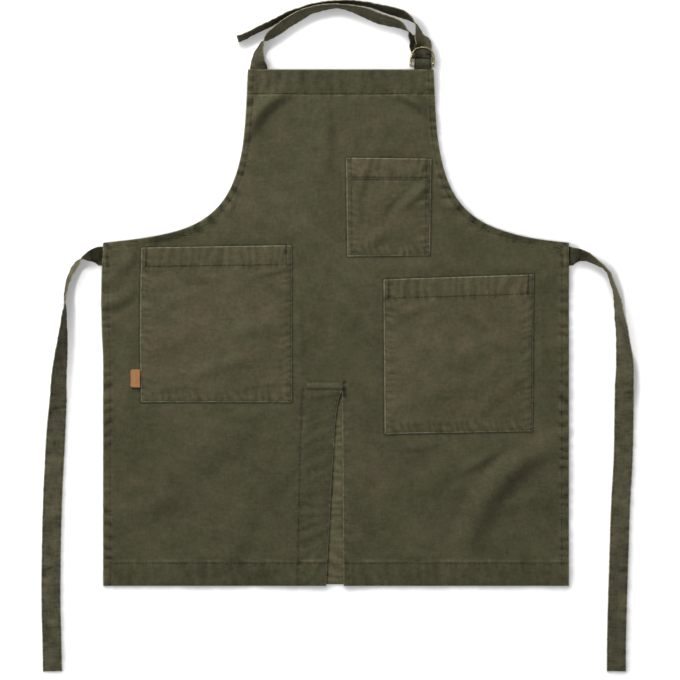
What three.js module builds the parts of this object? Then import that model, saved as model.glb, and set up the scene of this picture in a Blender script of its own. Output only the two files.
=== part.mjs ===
import * as THREE from 'three';

// Gardening apron of washed canvas, laid flat, face up. Millimetres, +X across, +Y towards the neck, +Z up.
// The model is drawn about the middle of the waist line and moved to its origin at the end.

// Cloth
const cloth = 1.2;            // one layer of canvas
const hemLayer = 0.8;         // what the turned cloth adds at a hem
const tape = 1.6;             // the doubled tape of straps and ties
const strapWidth = 29;
const tieWidth = 31;
const seat = 0.3;             // clearance between pieces that touch

// Body
const waistWidth = 744;
const skirtDrop = 548;
const bibRise = 277;
const bibTopWidth = 296;
const bibShift = 7.6;         // the bib lies this far to the right of the skirt's middle
const bibSpread = 3;          // how much wider each side of the bib is where the armhole curve starts
const armholeRise = 212;
const sideBow = 3;
const bibHem = 41;
const skirtHem = 38;
const sideHem = 13;
const armholeHem = 10;
const hemStep = 2.5;          // width over which a hem's thickness fades into the field

// Vent in the skirt
const ventRise = 311;
const ventPlace = 10;         // the vent's tip, right of the middle
const ventFlare = 26;         // how far the left flap's edge has drifted at the bottom
const ventLean = 2.4;         // how far the right flap's edge has drifted at the bottom
const facingWidth = 50;
const underlapWidth = 58;
const underlapSeam = 14;      // how far the underlap reaches behind the right flap

// Pockets
const patchWidth = 240;
const patchDepth = 249;
const chestWidth = 137;
const chestDepth = 156;
const mouthHem = 32;
const patchSwell = 7.5;       // how far the mouth of a patch pocket stands off the body
const chestSwell = 7;

// Leather tab in the side seam of the left pocket
const tabWidth = 16;
const tabLength = 30;
const tabThickness = 1.8;
const tabRadius = 3.5;
const tabPlace = 0.155;       // its middle, as a share of the pocket's depth from the bottom

// Neck strap and its ring closure
const neckRise = 102.4;
const strapInset = 17;        // from the bib's left edge to the middle of the strap
const closureInset = 18.4;    // from the bib's right edge to the middle of the rings
const sewnLength = 34;        // what lies behind the bib
const tailShift = 3;          // the tail comes out this far to the right of the strap
const wireRadius = 1.5;
const ringHalfWidth = 18.5;
const ringDepth = 24.5;
const ringRoundness = 2.4;
const ringCorner = 0.16;      // the corner at the bar, as a share of the half width
const upperRingTurn = -10;    // degrees in the plan
const lowerRingTurn = -3;
const lowerBarRise = 4.6;     // from the bib's top edge to the bar of the lower ring
const upperBarRise = 11;
const foldRise = 17.0;        // from the bib's top edge to the fold of the strap round the lower ring
const loopFront = 16.4;       // from the bib's top edge to the fold of the ring loop
const loopWidth = 29;
const loopShift = 1.5;        // the loop lies this far to the right of the rings' middle

// Ties
const tieReach = 97.6;        // how far a tie swings out from the body
const tieDrop = 664;
const tieRoot = 21;           // below the waist corner

// Worked out from the sizes above
const halfWaist = waistWidth / 2;
const underTape = tape + seat;
const bibBack = 2 * cloth + 4 * seat;             // what the bib's top hem lies on, at the ring loop
const ventBack = cloth + seat;                    // what the flaps lie on, at the underlap
const strapX = bibShift - bibTopWidth / 2 + strapInset;
const closureX = bibShift + bibTopWidth / 2 - closureInset;
const strapSpan = closureX - tailShift / 2 - strapX;
const lowerBarZ = cloth + seat + wireRadius;
const lowerArcZ = tape + seat + wireRadius + seat;
const upperBarZ = lowerArcZ + 2 * wireRadius + 2 * seat;
const tailZ = lowerArcZ + wireRadius + seat + tape / 2;
const upperArcZ = tailZ + tape / 2 + 3 * seat + wireRadius;

// Soft folds of the body: a ridge along a bent line from a through b to c. Places are shares of half the
// waist's width across and of the skirt's drop along; breadth and height are shares of the side hem.
const folds = [
  { ax: 0.90, ay: -0.60, bx: 0.66, by: -0.66, cx: 0.57, cy: -0.86, breadth: 2.1, height: 0.55 },
  { ax: -0.86, ay: -0.75, bx: -0.62, by: -0.63, cx: -0.37, cy: -0.53, breadth: 3.2, height: 0.40 },
  { ax: -0.46, ay: -0.92, bx: -0.41, by: -0.78, cx: -0.26, cy: -0.68, breadth: 2.6, height: 0.34 },
  { ax: 0.36, ay: -0.74, bx: 0.44, by: -0.66, cx: 0.62, cy: -0.60, breadth: 2.2, height: 0.30 },
  { ax: -0.31, ay: 0.43, bx: -0.36, by: 0.38, cx: -0.37, cy: 0.30, breadth: 1.8, height: 0.34 },
  { ax: -0.06, ay: 0.38, bx: -0.10, by: 0.25, cx: -0.04, cy: 0.12, breadth: 2.8, height: 0.30 },
  { ax: 0.30, ay: 0.42, bx: 0.38, by: 0.40, cx: 0.43, cy: 0.34, breadth: 1.6, height: 0.28 },
  { ax: -0.44, ay: 0.10, bx: -0.30, by: 0.07, cx: -0.16, cy: 0.03, breadth: 2.0, height: 0.26 },
  { ax: 0.02, ay: -0.08, bx: 0.06, by: -0.20, cx: 0.02, cy: -0.34, breadth: 2.4, height: 0.28 },
];

// Pockets: the middle as shares of half the waist's width and of the skirt's drop, sizes in millimetres,
// turns of the mouth and the bottom in degrees, and the bow of the left side as a share of the width.
const pockets = [
  { name: 'pocket_left', x: -0.514, y: -0.238, width: patchWidth, depth: patchDepth,
    swell: patchSwell, mouthTurn: 0.9, footTurn: 0, foot: 1.005, bow: 0.008 },
  { name: 'pocket_right', x: 0.527, y: -0.327, width: patchWidth, depth: patchDepth,
    swell: patchSwell, mouthTurn: 1.9, footTurn: 1.1, foot: 0.985, bow: 0 },
  { name: 'pocket_chest', x: 0.227, y: 0.104, width: chestWidth, depth: chestDepth,
    swell: chestSwell, mouthTurn: -0.7, footTurn: 0.9, foot: 0.965, bow: 0 },
];

// Neck strap from its sewn end to the rings: across as a share of the span to the rings, up as a share of
// the rise above the bib, turn of the tape about its own length in degrees.
const neckRoute = [
  { across: 0.000, up: 0.00, turn: 180 },
  { across: -0.004, up: 0.11, turn: 143 },
  { across: -0.001, up: 0.23, turn: 126 },
  { across: 0.009, up: 0.32, turn: 113 },
  { across: 0.025, up: 0.42, turn: 99 },
  { across: 0.046, up: 0.48, turn: 77 },
  { across: 0.074, up: 0.54, turn: 67 },
  { across: 0.114, up: 0.61, turn: 61 },
  { across: 0.179, up: 0.73, turn: 59 },
  { across: 0.253, up: 0.84, turn: 61 },
  { across: 0.315, up: 0.91, turn: 70 },
  { across: 0.389, up: 0.96, turn: 75 },
  { across: 0.481, up: 0.985, turn: 82 },
  { across: 0.568, up: 0.95, turn: 74 },
  { across: 0.651, up: 0.886, turn: 61 },
  { across: 0.747, up: 0.79, turn: 57 },
  { across: 0.821, up: 0.74, turn: 62 },
  { across: 0.872, up: 0.694, turn: 71 },
  { across: 0.907, up: 0.623, turn: 88 },
  { across: 0.930, up: 0.57, turn: 99 },
  { across: 0.941, up: 0.52, turn: 106 },
  { across: 0.968, up: 0.47, turn: 130 },
  { across: 0.988, up: 0.42, turn: 155 },
  { across: 0.998, up: 0.37, turn: 170 },
  { across: 1.000, up: 0.33, turn: 179 },
  { across: 1.000, up: 0.28, turn: 180 },
];

// The tail, from the rings to its free end. Lift is the height of its lower edge in thicknesses of tape.
const tailRoute = [
  { across: 1.000, up: 0.25, turn: 0, lift: tailZ / tape - 0.5 },
  { across: 1.000, up: 0.345, turn: 0, lift: tailZ / tape - 0.5 },
  { across: 1.002, up: 0.375, turn: 8, lift: 2.6 },
  { across: 1.002, up: 0.42, turn: 25, lift: 1.8 },
  { across: 0.988, up: 0.47, turn: 45, lift: 0.8 },
  { across: 0.978, up: 0.53, turn: 58, lift: 0 },
  { across: 0.971, up: 0.597, turn: 70, lift: 0 },
  { across: 0.962, up: 0.675, turn: 80, lift: 0 },
  { across: 0.942, up: 0.748, turn: 91, lift: 0 },
  { across: 0.907, up: 0.816, turn: 105, lift: 0 },
  { across: 0.867, up: 0.866, turn: 114, lift: 0 },
  { across: 0.787, up: 0.925, turn: 109, lift: 0 },
  { across: 0.698, up: 0.985, turn: 102, lift: 0 },
  { across: 0.599, up: 1.035, turn: 99, lift: 0 },
  { across: 0.500, up: 1.045, turn: 99, lift: 0 },
  { across: 0.407, up: 1.028, turn: 98, lift: 0 },
  { across: 0.321, up: 0.992, turn: 98, lift: 0 },
  { across: 0.244, up: 0.930, turn: 98, lift: 0 },
  { across: 0.190, up: 0.880, turn: 102, lift: 0 },
  { across: 0.127, up: 0.80, turn: 103, lift: 0 },
  { across: 0.037, up: 0.68, turn: 104, lift: 0 },
  { across: -0.056, up: 0.566, turn: 103, lift: 0 },
  { across: -0.105, up: 0.503, turn: 105, lift: 0 },
  { across: -0.143, up: 0.472, turn: 108, lift: 0 },
];

// Ties: out from the body's side as a share of the reach, down as a share of the drop.
const leftTieRoute = [
  { out: 0.00, down: 0.000, turn: 0 },
  { out: 0.04, down: 0.000, turn: 0 },
  { out: 0.10, down: -0.001, turn: -27 },
  { out: 0.185, down: 0.000, turn: -54 },
  { out: 0.27, down: 0.003, turn: -70 },
  { out: 0.34, down: 0.006, turn: -90 },
  { out: 0.40, down: 0.015, turn: -107 },
  { out: 0.475, down: 0.031, turn: -110 },
  { out: 0.54, down: 0.049, turn: -107 },
  { out: 0.584, down: 0.067, turn: -103 },
  { out: 0.61, down: 0.088, turn: -100 },
  { out: 0.623, down: 0.106, turn: -95 },
  { out: 0.621, down: 0.120, turn: -90 },
  { out: 0.628, down: 0.135, turn: -83 },
  { out: 0.639, down: 0.151, turn: -78 },
  { out: 0.65, down: 0.178, turn: -71 },
  { out: 0.665, down: 0.207, turn: -62 },
  { out: 0.697, down: 0.251, turn: -48 },
  { out: 0.728, down: 0.299, turn: -40 },
  { out: 0.738, down: 0.347, turn: -32 },
  { out: 0.762, down: 0.395, turn: -20 },
  { out: 0.784, down: 0.443, turn: -10 },
  { out: 0.803, down: 0.492, turn: 0 },
  { out: 0.828, down: 0.564, turn: 0 },
  { out: 0.852, down: 0.684, turn: 0 },
  { out: 0.861, down: 0.829, turn: 0 },
  { out: 0.845, down: 0.925, turn: 0 },
  { out: 0.836, down: 1.000, turn: 0 },
];

const rightTieRoute = [
  { out: 0.00, down: 0.000, turn: 0 },
  { out: 0.035, down: 0.000, turn: 0 },
  { out: 0.085, down: -0.001, turn: 34 },
  { out: 0.156, down: -0.002, turn: 50 },
  { out: 0.27, down: 0.001, turn: 62 },
  { out: 0.385, down: 0.009, turn: 72 },
  { out: 0.489, down: 0.019, turn: 80 },
  { out: 0.574, down: 0.028, turn: 85 },
  { out: 0.648, down: 0.040, turn: 86 },
  { out: 0.685, down: 0.054, turn: 83 },
  { out: 0.73, down: 0.073, turn: 81 },
  { out: 0.769, down: 0.090, turn: 77 },
  { out: 0.795, down: 0.107, turn: 72 },
  { out: 0.821, down: 0.138, turn: 65 },
  { out: 0.866, down: 0.178, turn: 55 },
  { out: 0.889, down: 0.211, turn: 46 },
  { out: 0.918, down: 0.254, turn: 29 },
  { out: 0.913, down: 0.314, turn: 13 },
  { out: 0.910, down: 0.374, turn: 0 },
  { out: 0.893, down: 0.495, turn: 0 },
  { out: 0.852, down: 0.603, turn: 0 },
  { out: 0.828, down: 0.712, turn: 0 },
  { out: 0.803, down: 0.832, turn: 0 },
  { out: 0.787, down: 0.928, turn: 0 },
  { out: 0.784, down: 1.000, turn: 0 },
];

const radians = THREE.MathUtils.degToRad;
const lerp = THREE.MathUtils.lerp;
const smooth = THREE.MathUtils.smoothstep;

function spread(from, to, count) {
  return Array.from({ length: count }, (unused, i) => lerp(from, to, (i + 1) / (count + 1)));
}

// 1 inside the box, fading to 0 over the given distance outside it
function plateau(x, y, left, right, low, high, fade) {
  const acrossFade = smooth(x, left - fade, left) * (1 - smooth(x, right, right + fade));
  const alongFade = smooth(y, low - fade, low) * (1 - smooth(y, high, high + fade));
  return acrossFade * alongFade;
}

// The height that a ridge gives at a point: a rounded crest along the fold's bent line
function ridge(fold, x, y) {
  const line = new THREE.QuadraticBezierCurve(
    new THREE.Vector2(fold.ax * halfWaist, fold.ay * skirtDrop),
    new THREE.Vector2(fold.bx * halfWaist, fold.by * skirtDrop),
    new THREE.Vector2(fold.cx * halfWaist, fold.cy * skirtDrop),
  );
  const samples = 16;
  const half = fold.breadth * sideHem;
  let height = 0;
  for (let i = 0; i <= samples; i += 1) {
    const share = i / samples;
    const distance = line.getPoint(share).distanceTo(new THREE.Vector2(x, y));
    const crest = fold.height * sideHem * Math.sin(Math.PI * lerp(0.12, 0.88, share));
    const fall = Math.max(0, 1 - (distance / half) ** 2);
    height = Math.max(height, crest * fall * fall);
  }
  return height;
}

// The middle of a pocket, and whether a point lies under one, with a margin round it
function underPocket(x, y, margin) {
  return pockets.some((pocket) => (
    Math.abs(x - pocket.x * halfWaist) < pocket.width / 2 + margin
    && Math.abs(y - pocket.y * skirtDrop) < pocket.depth / 2 + margin));
}

// How far the body's underside stands off the surface: over what is sewn behind it, and in its folds
function lift(x, y) {
  const fade = 45;
  const reach = 30;
  const overBib = bibBack * plateau(x, y, -halfWaist, halfWaist, bibRise - sewnLength, bibRise, 2 * fade);
  const ties = underTape * (
    plateau(x, y, -halfWaist - reach, -halfWaist + sewnLength + reach, -tieRoot - reach, reach, fade)
    + plateau(x, y, halfWaist - sewnLength - reach, halfWaist + reach, -tieRoot - reach, reach, fade));
  const vent = ventBack * plateau(
    x, y,
    ventPlace - ventFlare - underlapWidth, ventPlace + underlapSeam + reach / 2,
    -skirtDrop, ventRise - skirtDrop + reach / 2, fade / 2,
  );
  const pinned = underPocket(x, y, 2 * cloth);
  const folded = pinned ? 0 : folds.reduce((most, fold) => Math.max(most, ridge(fold, x, y)), 0);
  return Math.max(overBib, ties, vent) + folded;
}

// Half the width along the armhole, for a share from the bib's side to the waist corner
function armhole(share) {
  const top = bibTopWidth / 2 + bibSpread;
  const spanX = halfWaist - top;
  const curve = new THREE.CubicBezierCurve(
    new THREE.Vector2(top, armholeRise),
    new THREE.Vector2(top + 0.04 * spanX, 0.2 * armholeRise),
    new THREE.Vector2(top + 0.29 * spanX, 0.07 * armholeRise),
    new THREE.Vector2(halfWaist, 0),
  );
  return { point: curve.getPoint(share), tangent: curve.getTangent(share) };
}

// The left and right edges of the vent at a height: apart below its tip, together above it
function ventEdges(y) {
  const share = THREE.MathUtils.clamp((ventRise - skirtDrop - y) / ventRise, 0, 1);
  const quick = 0.35;
  const opening = quick * (1 - Math.exp(-share / 0.06)) + (1 - quick) * share;
  const above = smooth(y, ventRise - skirtDrop, bibRise);
  const middle = lerp(ventPlace, bibShift, above);
  return { left: middle - ventFlare * opening, right: middle + ventLean * share };
}

// One row of the body for each height: its edges, its hem's breadth along the row and its thickness there
function bodyRows() {
  const rows = [];
  const hemEdge = bibRise - bibHem;
  const top = bibTopWidth / 2;
  for (const y of [bibRise, hemEdge + hemStep, hemEdge, ...spread(hemEdge, armholeRise, 1)]) {
    const half = top + bibSpread * (bibRise - y) / (bibRise - armholeRise);
    rows.push({ y, left: bibShift - half, right: bibShift + half, hem: armholeHem });
  }
  for (const share of [0, ...spread(0, 1, 14)]) {
    const { point, tangent } = armhole(share);
    const shift = bibShift * smooth(point.y, 0, armholeHem * 2);
    const slant = Math.max(Math.abs(tangent.y), 0.12);
    const hem = Math.min(armholeHem / slant, (point.x - top) / 2 + armholeHem);
    rows.push({ y: point.y, left: shift - point.x, right: shift + point.x, hem });
  }
  const tip = ventRise - skirtDrop;
  const foot = skirtHem - skirtDrop;
  const heights = [
    0, ...spread(0, tip, 9), tip, ...spread(tip, tip - ventRise / 6, 2),
    ...spread(tip - ventRise / 6, foot, 6), foot, foot - hemStep, -skirtDrop,
  ];
  for (const y of heights) {
    const bow = sideBow * Math.sin(Math.PI * Math.min(1, -y / (skirtDrop / 3)));
    rows.push({ y, left: -halfWaist - bow, right: halfWaist + bow, hem: sideHem });
  }
  return rows;
}

// One closed solid between an upper and a lower skin that share their faces, with a wall at each free edge
function closedSheet(faces, upper, lower) {
  const count = upper.length;
  const positions = new Float32Array(6 * count);
  upper.concat(lower).forEach((point, i) => point.toArray(positions, 3 * i));
  const index = [];
  const directed = new Set();
  for (const [a, b, c] of faces) {
    index.push(a, b, c, a + count, c + count, b + count);
    directed.add(`${a},${b}`).add(`${b},${c}`).add(`${c},${a}`);
  }
  for (const edge of directed) {
    const [a, b] = edge.split(',').map(Number);
    if (!directed.has(`${b},${a}`)) {
      index.push(b, a, a + count, b, a + count, b + count);
    }
  }
  const geometry = new THREE.BufferGeometry();
  geometry.setAttribute('position', new THREE.BufferAttribute(positions, 3));
  geometry.setIndex(index);
  geometry.computeVertexNormals();
  return geometry;
}

// The body's grid: its points seen from above, its faces and the cloth's thickness at each point
function bodyGrid() {
  const rows = bodyRows();
  const sideShares = spread(0, 0.84, 8);
  const columnsPerHalf = sideShares.length + 6;
  const points = [];
  const faces = [];
  const thickness = [];
  const names = new Map();

  // Column 0 is the side edge and the last one the vent, for the half on either side of the vent
  function columnX(row, edge, middle, column) {
    const inward = Math.sign(middle - edge);
    const facing = middle - inward * Math.min(facingWidth, Math.abs(middle - edge) / 4);
    if (column === 0) return edge;
    if (column === 1) return edge + inward * (row.hem - hemStep);
    if (column === 2) return edge + inward * row.hem;
    if (column === columnsPerHalf - 1) return middle;
    if (column === columnsPerHalf - 2) return lerp(facing, middle, 0.55);
    if (column === columnsPerHalf - 3) return facing;
    return lerp(edge + inward * row.hem, facing, sideShares[column - 3] / 0.84);
  }
  function vertex(side, rowNumber, column) {
    const joined = column === columnsPerHalf - 1 && rows[rowNumber].y >= ventRise - skirtDrop;
    const key = `${joined ? 'middle' : side} ${rowNumber} ${column}`;
    if (!names.has(key)) {
      const row = rows[rowNumber];
      const vent = ventEdges(row.y);
      const edge = side === 'left' ? row.left : row.right;
      const middle = side === 'left' ? vent.left : vent.right;
      const turned = column < 2 || row.y > bibRise - bibHem || row.y < skirtHem - skirtDrop;
      names.set(key, points.length);
      points.push(new THREE.Vector2(columnX(row, edge, middle, column), row.y));
      thickness.push(cloth + (turned ? hemLayer : 0));
    }
    return names.get(key);
  }
  for (let row = 0; row < rows.length - 1; row += 1) {
    for (let column = 0; column < columnsPerHalf - 1; column += 1) {
      const corners = (side) => [
        vertex(side, row, column), vertex(side, row + 1, column),
        vertex(side, row + 1, column + 1), vertex(side, row, column + 1),
      ];
      const [a, b, c, d] = corners('left');
      faces.push([a, b, c], [a, c, d]);
      const [e, f, g, h] = corners('right');
      faces.push([e, g, f], [e, h, g]);
    }
  }
  return { points, faces, thickness };
}

const grid = bodyGrid();
const bodyUnder = grid.points.map((point) => new THREE.Vector3(point.x, point.y, lift(point.x, point.y)));
const bodyTop = bodyUnder.map((point, i) => point.clone().setZ(point.z + grid.thickness[i]));

// The highest level of the body's upper side within reach of a point, for what lies on it there
function restHeight(x, y, reach) {
  const place = new THREE.Vector3(x, y, 0);
  const weights = new THREE.Vector3();
  const flat = (point) => new THREE.Vector3(point.x, point.y, 0);
  let height = 0;
  for (const face of grid.faces) {
    const [a, b, c] = face.map((i) => bodyTop[i]);
    const near = Math.abs(a.x - x) < waistWidth / 5 && Math.abs(a.y - y) < waistWidth / 5;
    if (!near) continue;
    THREE.Triangle.getBarycoord(place, flat(a), flat(b), flat(c), weights);
    if (Math.min(weights.x, weights.y, weights.z) >= -1e-6) {
      height = Math.max(height, weights.x * a.z + weights.y * b.z + weights.z * c.z);
    }
  }
  for (const point of bodyTop) {
    if (Math.hypot(point.x - x, point.y - y) < reach) height = Math.max(height, point.z);
  }
  return height;
}

// A grid of faces, counter-clockwise seen from above, for columns that run across and rows that run up
function gridFaces(columns, rows) {
  const faces = [];
  for (let row = 0; row < rows; row += 1) {
    for (let column = 0; column < columns; column += 1) {
      const a = row * (columns + 1) + column;
      const d = a + columns + 1;
      faces.push([a, a + 1, d + 1], [a, d + 1, d]);
    }
  }
  return faces;
}

// A point of a pocket's plan, for shares across and up
function pocketPoint(pocket, u, v) {
  const width = pocket.width * lerp(pocket.foot, 1, v);
  const turn = radians(lerp(pocket.footTurn, pocket.mouthTurn, v));
  const bow = pocket.bow * pocket.width * Math.sin(Math.PI * v) * (1 - u);
  const x = pocket.x * halfWaist + (u - 0.5) * width - bow;
  const y = pocket.y * skirtDrop + (v - 0.5) * pocket.depth + (u - 0.5) * width * Math.tan(turn);
  return new THREE.Vector2(x, y);
}

// How far a pocket stands off the body: nothing at its sewn sides and foot, all of it at the mouth's middle
function pocketStand(pocket, u, v) {
  const acrossShare = 1 - Math.abs(2 * u - 1) ** 5;
  const upShare = 1 - (1 - v) ** 4;
  return pocket.swell * acrossShare * upShare;
}

function pocketGeometry(pocket) {
  const columns = 14;
  const rows = [0, 0.04, 0.1, 0.18, 0.28, 0.4, 0.52, 0.64, 0.76, 1 - mouthHem / pocket.depth];
  rows.push(rows.at(-1) + hemStep / pocket.depth, 1);
  const shares = [0, 0.03, 0.08, 0.15, 0.24, 0.34, 0.45];
  const acrossShares = [...shares, 0.5, ...shares.map((share) => 1 - share).reverse()];
  const upper = [];
  const lower = [];
  rows.forEach((v, row) => {
    for (const u of acrossShares) {
      const place = pocketPoint(pocket, u, v);
      const level = restHeight(place.x, place.y, 2 * hemStep) + seat + pocketStand(pocket, u, v);
      const hem = row >= rows.length - 2 ? hemLayer : 0;
      lower.push(new THREE.Vector3(place.x, place.y, level));
      upper.push(new THREE.Vector3(place.x, place.y, level + cloth + hem));
    }
  });
  return closedSheet(gridFaces(columns, rows.length - 1), upper, lower);
}

// A flat band swept along stations, each with its place and the direction across the band
function band(stations, width, thickness) {
  const corners = [[1, 1], [-1, 1], [-1, -1], [1, -1]];
  const positions = [];
  const index = [];
  stations.forEach((station, i) => {
    const before = stations[Math.max(0, i - 1)].place;
    const after = stations[Math.min(stations.length - 1, i + 1)].place;
    const along = after.clone().sub(before).normalize();
    const face = along.clone().cross(station.across).normalize();
    for (const [side, skin] of corners) {
      const corner = station.place.clone()
        .addScaledVector(station.across, side * width / 2)
        .addScaledVector(face, -skin * thickness / 2);
      positions.push(...corner.toArray());
    }
    if (i > 0) {
      const last = 4 * (i - 1);
      for (let side = 0; side < 4; side += 1) {
        const next = (side + 1) % 4;
        index.push(last + side, last + 4 + side, last + 4 + next, last + side, last + 4 + next, last + next);
      }
    }
  });
  const end = 4 * (stations.length - 1);
  index.push(0, 1, 2, 0, 2, 3, end, end + 2, end + 1, end, end + 3, end + 2);
  const geometry = new THREE.BufferGeometry();
  geometry.setAttribute('position', new THREE.Float32BufferAttribute(positions, 3));
  geometry.setIndex(index);
  geometry.computeVertexNormals();
  return geometry;
}

// Stations along a smooth route through rows with a place in the plan, a turn and the height of the lower
// edge: at turn 0 the tape lies flat, at 90 it stands on edge.
function turnedStations(rows, width) {
  const stepsPerRow = 2;
  const route = new THREE.CatmullRomCurve3(rows.map((row) => new THREE.Vector3(row.x, row.y, 0)));
  const steps = stepsPerRow * (rows.length - 1);
  return Array.from({ length: steps + 1 }, (unused, i) => {
    const share = i / steps;
    const place = route.getPoint(share);
    const heading = route.getTangent(share);
    const from = rows[Math.floor(i / stepsPerRow)];
    const to = rows[Math.ceil(i / stepsPerRow)];
    const turn = lerp(from.turn, to.turn, (i % stepsPerRow) / stepsPerRow);
    const low = lerp(from.low, to.low, (i % stepsPerRow) / stepsPerRow);
    const rise = Math.sin(radians(turn));
    const level = Math.cos(radians(turn));
    const across = new THREE.Vector3(-heading.y * level, heading.x * level, rise);
    place.z = low + (width * Math.abs(rise) + tape * Math.abs(level)) / 2;
    return { place, across };
  });
}

function neckStrapGeometry() {
  const inPlan = (row) => ({
    x: strapX + row.across * strapSpan, y: bibRise + row.up * neckRise, turn: row.turn, low: (row.lift ?? 0) * tape,
  });
  const hidden = { x: strapX, y: bibRise - sewnLength, turn: 180, low: 0 };
  const arch = turnedStations([hidden, ...neckRoute.map(inPlan)], strapWidth);
  const tail = turnedStations(tailRoute.map((row) => {
    const placed = inPlan(row);
    return { ...placed, x: placed.x + tailShift };
  }), strapWidth);
  const radius = (tailZ - tape / 2) / 2;
  const middle = bibRise + foldRise + radius + tape / 2;
  const fold = [0, 30, 60, 90, 120, 150, 180].map((degrees) => ({
    place: new THREE.Vector3(
      closureX + tailShift * (degrees / 180 - 0.5),
      middle - radius * Math.sin(radians(degrees)),
      tape / 2 + radius * (1 - Math.cos(radians(degrees))),
    ),
    across: new THREE.Vector3(-1, 0, 0),
  }));
  return band([...arch, ...fold, ...tail], strapWidth, tape);
}

// The short loop that holds both rings: behind the bib, round the bars and back behind the bib
function ringLoopGeometry() {
  const lowZ = cloth / 2;
  const backZ = cloth + seat + cloth / 2;
  const crownZ = upperBarZ + wireRadius + seat + cloth / 2;
  const front = bibRise + loopFront - cloth / 2;
  const profile = [
    [bibRise - sewnLength, lowZ],
    [bibRise, lowZ],
    [front - cloth, lowZ],
    [front, lowZ + cloth],
    [front, crownZ - cloth],
    [front - cloth, crownZ],
    [bibRise + upperBarRise - 2 * wireRadius, crownZ],
    [bibRise + lowerBarRise - wireRadius, lowerBarZ + wireRadius + 2 * seat + cloth / 2],
    [bibRise, backZ + 2 * seat],
    [bibRise - 2 * hemStep, backZ],
    [bibRise - sewnLength, backZ],
  ];
  const stations = profile.map(([y, z]) => ({
    place: new THREE.Vector3(closureX + loopShift, y, z), across: new THREE.Vector3(-1, 0, 0),
  }));
  return band(stations, loopWidth, cloth);
}

// A ring of round wire: a straight bar, short corners and a rounded bow. Its middle line climbs from the
// bar's height to the bow's, and it is turned about the middle of its bar.
function ringGeometry(barRise, barZ, arcZ, turn) {
  const steps = 40;
  const sides = 8;
  const corner = ringCorner * ringHalfWidth;
  const plan = [];
  for (let i = 0; i < steps; i += 1) {
    const angle = 2 * Math.PI * i / steps;
    const power = 2 / ringRoundness;
    const across = ringHalfWidth * Math.sign(Math.cos(angle)) * Math.abs(Math.cos(angle)) ** power;
    const bow = Math.sin(angle) >= 0 ? ringDepth - corner : corner;
    const square = Math.sin(angle) >= 0 ? power : 0.5;
    const up = corner + bow * Math.sign(Math.sin(angle)) * Math.abs(Math.sin(angle)) ** square;
    plan.push(new THREE.Vector2(across, up));
  }
  const rotation = radians(turn);
  const places = plan.map((point) => {
    const turned = point.clone().rotateAround(new THREE.Vector2(0, 0), rotation);
    const z = lerp(barZ, arcZ, point.y / ringDepth);
    return new THREE.Vector3(closureX + turned.x, bibRise + barRise + turned.y, z);
  });
  const positions = [];
  const index = [];
  places.forEach((place, i) => {
    const along = places[(i + 1) % steps].clone().sub(places[(i + steps - 1) % steps]).normalize();
    const outward = along.clone().cross(new THREE.Vector3(0, 0, 1)).normalize();
    const upward = outward.clone().cross(along);
    for (let side = 0; side < sides; side += 1) {
      const angle = 2 * Math.PI * side / sides;
      const rim = place.clone()
        .addScaledVector(outward, wireRadius * Math.cos(angle))
        .addScaledVector(upward, wireRadius * Math.sin(angle));
      positions.push(...rim.toArray());
      const next = (side + 1) % sides;
      const ahead = ((i + 1) % steps) * sides;
      const here = i * sides;
      index.push(here + side, ahead + next, here + next, here + side, ahead + side, ahead + next);
    }
  });
  const geometry = new THREE.BufferGeometry();
  geometry.setAttribute('position', new THREE.Float32BufferAttribute(positions, 3));
  geometry.setIndex(index);
  geometry.computeVertexNormals();
  return geometry;
}

function tieGeometry(route, side) {
  const root = side * halfWaist;
  const rows = route.map((row) => ({
    x: root + side * row.out * tieReach, y: -tieRoot - row.down * tieDrop, turn: row.turn, low: 0,
  }));
  const hidden = { x: root - side * sewnLength, y: -tieRoot, turn: 0, low: 0 };
  return band(turnedStations([hidden, ...rows], tieWidth), tieWidth, tape);
}

// The strip of cloth that lies behind the vent, seen between the two flaps
function underlapGeometry() {
  const rows = 14;
  const trim = 2 * hemStep;
  const upper = [];
  const lower = [];
  for (let row = 0; row <= rows; row += 1) {
    const y = lerp(trim / 2 - skirtDrop, ventRise - skirtDrop, row / rows);
    const edges = ventEdges(y);
    const right = edges.right + underlapSeam;
    for (const x of [right - underlapWidth, edges.left, edges.right, right]) {
      lower.push(new THREE.Vector3(x, y, 0));
      upper.push(new THREE.Vector3(x, y, cloth));
    }
  }
  return closedSheet(gridFaces(3, rows), upper, lower);
}

// A small leather tab with two rounded corners, flat on the body beside the pocket's seam
function tabGeometry() {
  const pocket = pockets[0];
  const seam = pocketPoint(pocket, 0, tabPlace);
  const right = seam.x - seat;
  const left = right - tabWidth;
  const low = seam.y - tabLength / 2;
  const high = seam.y + tabLength / 2;
  const outline = new THREE.Shape();
  outline.moveTo(right, low).lineTo(right, high).lineTo(left + tabRadius, high);
  outline.absarc(left + tabRadius, high - tabRadius, tabRadius, Math.PI / 2, Math.PI, false);
  outline.absarc(left + tabRadius, low + tabRadius, tabRadius, Math.PI, 1.5 * Math.PI, false);
  outline.closePath();
  const geometry = new THREE.ExtrudeGeometry(outline, {
    depth: tabThickness, bevelEnabled: false, curveSegments: 6,
  });
  return geometry.translate(0, 0, restHeight(left, seam.y, tabLength) + seat);
}

function clothMaterial(color) {
  return new THREE.MeshStandardMaterial({ color, roughness: 0.95, metalness: 0 });
}

function brassMaterial() {
  return new THREE.MeshStandardMaterial({ color: 0x9a8a55, roughness: 0.35, metalness: 1 });
}

const apron = new THREE.Group();

function addPiece(name, geometry, material) {
  const piece = new THREE.Mesh(geometry, material);
  piece.name = name;
  apron.add(piece);
}

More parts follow.
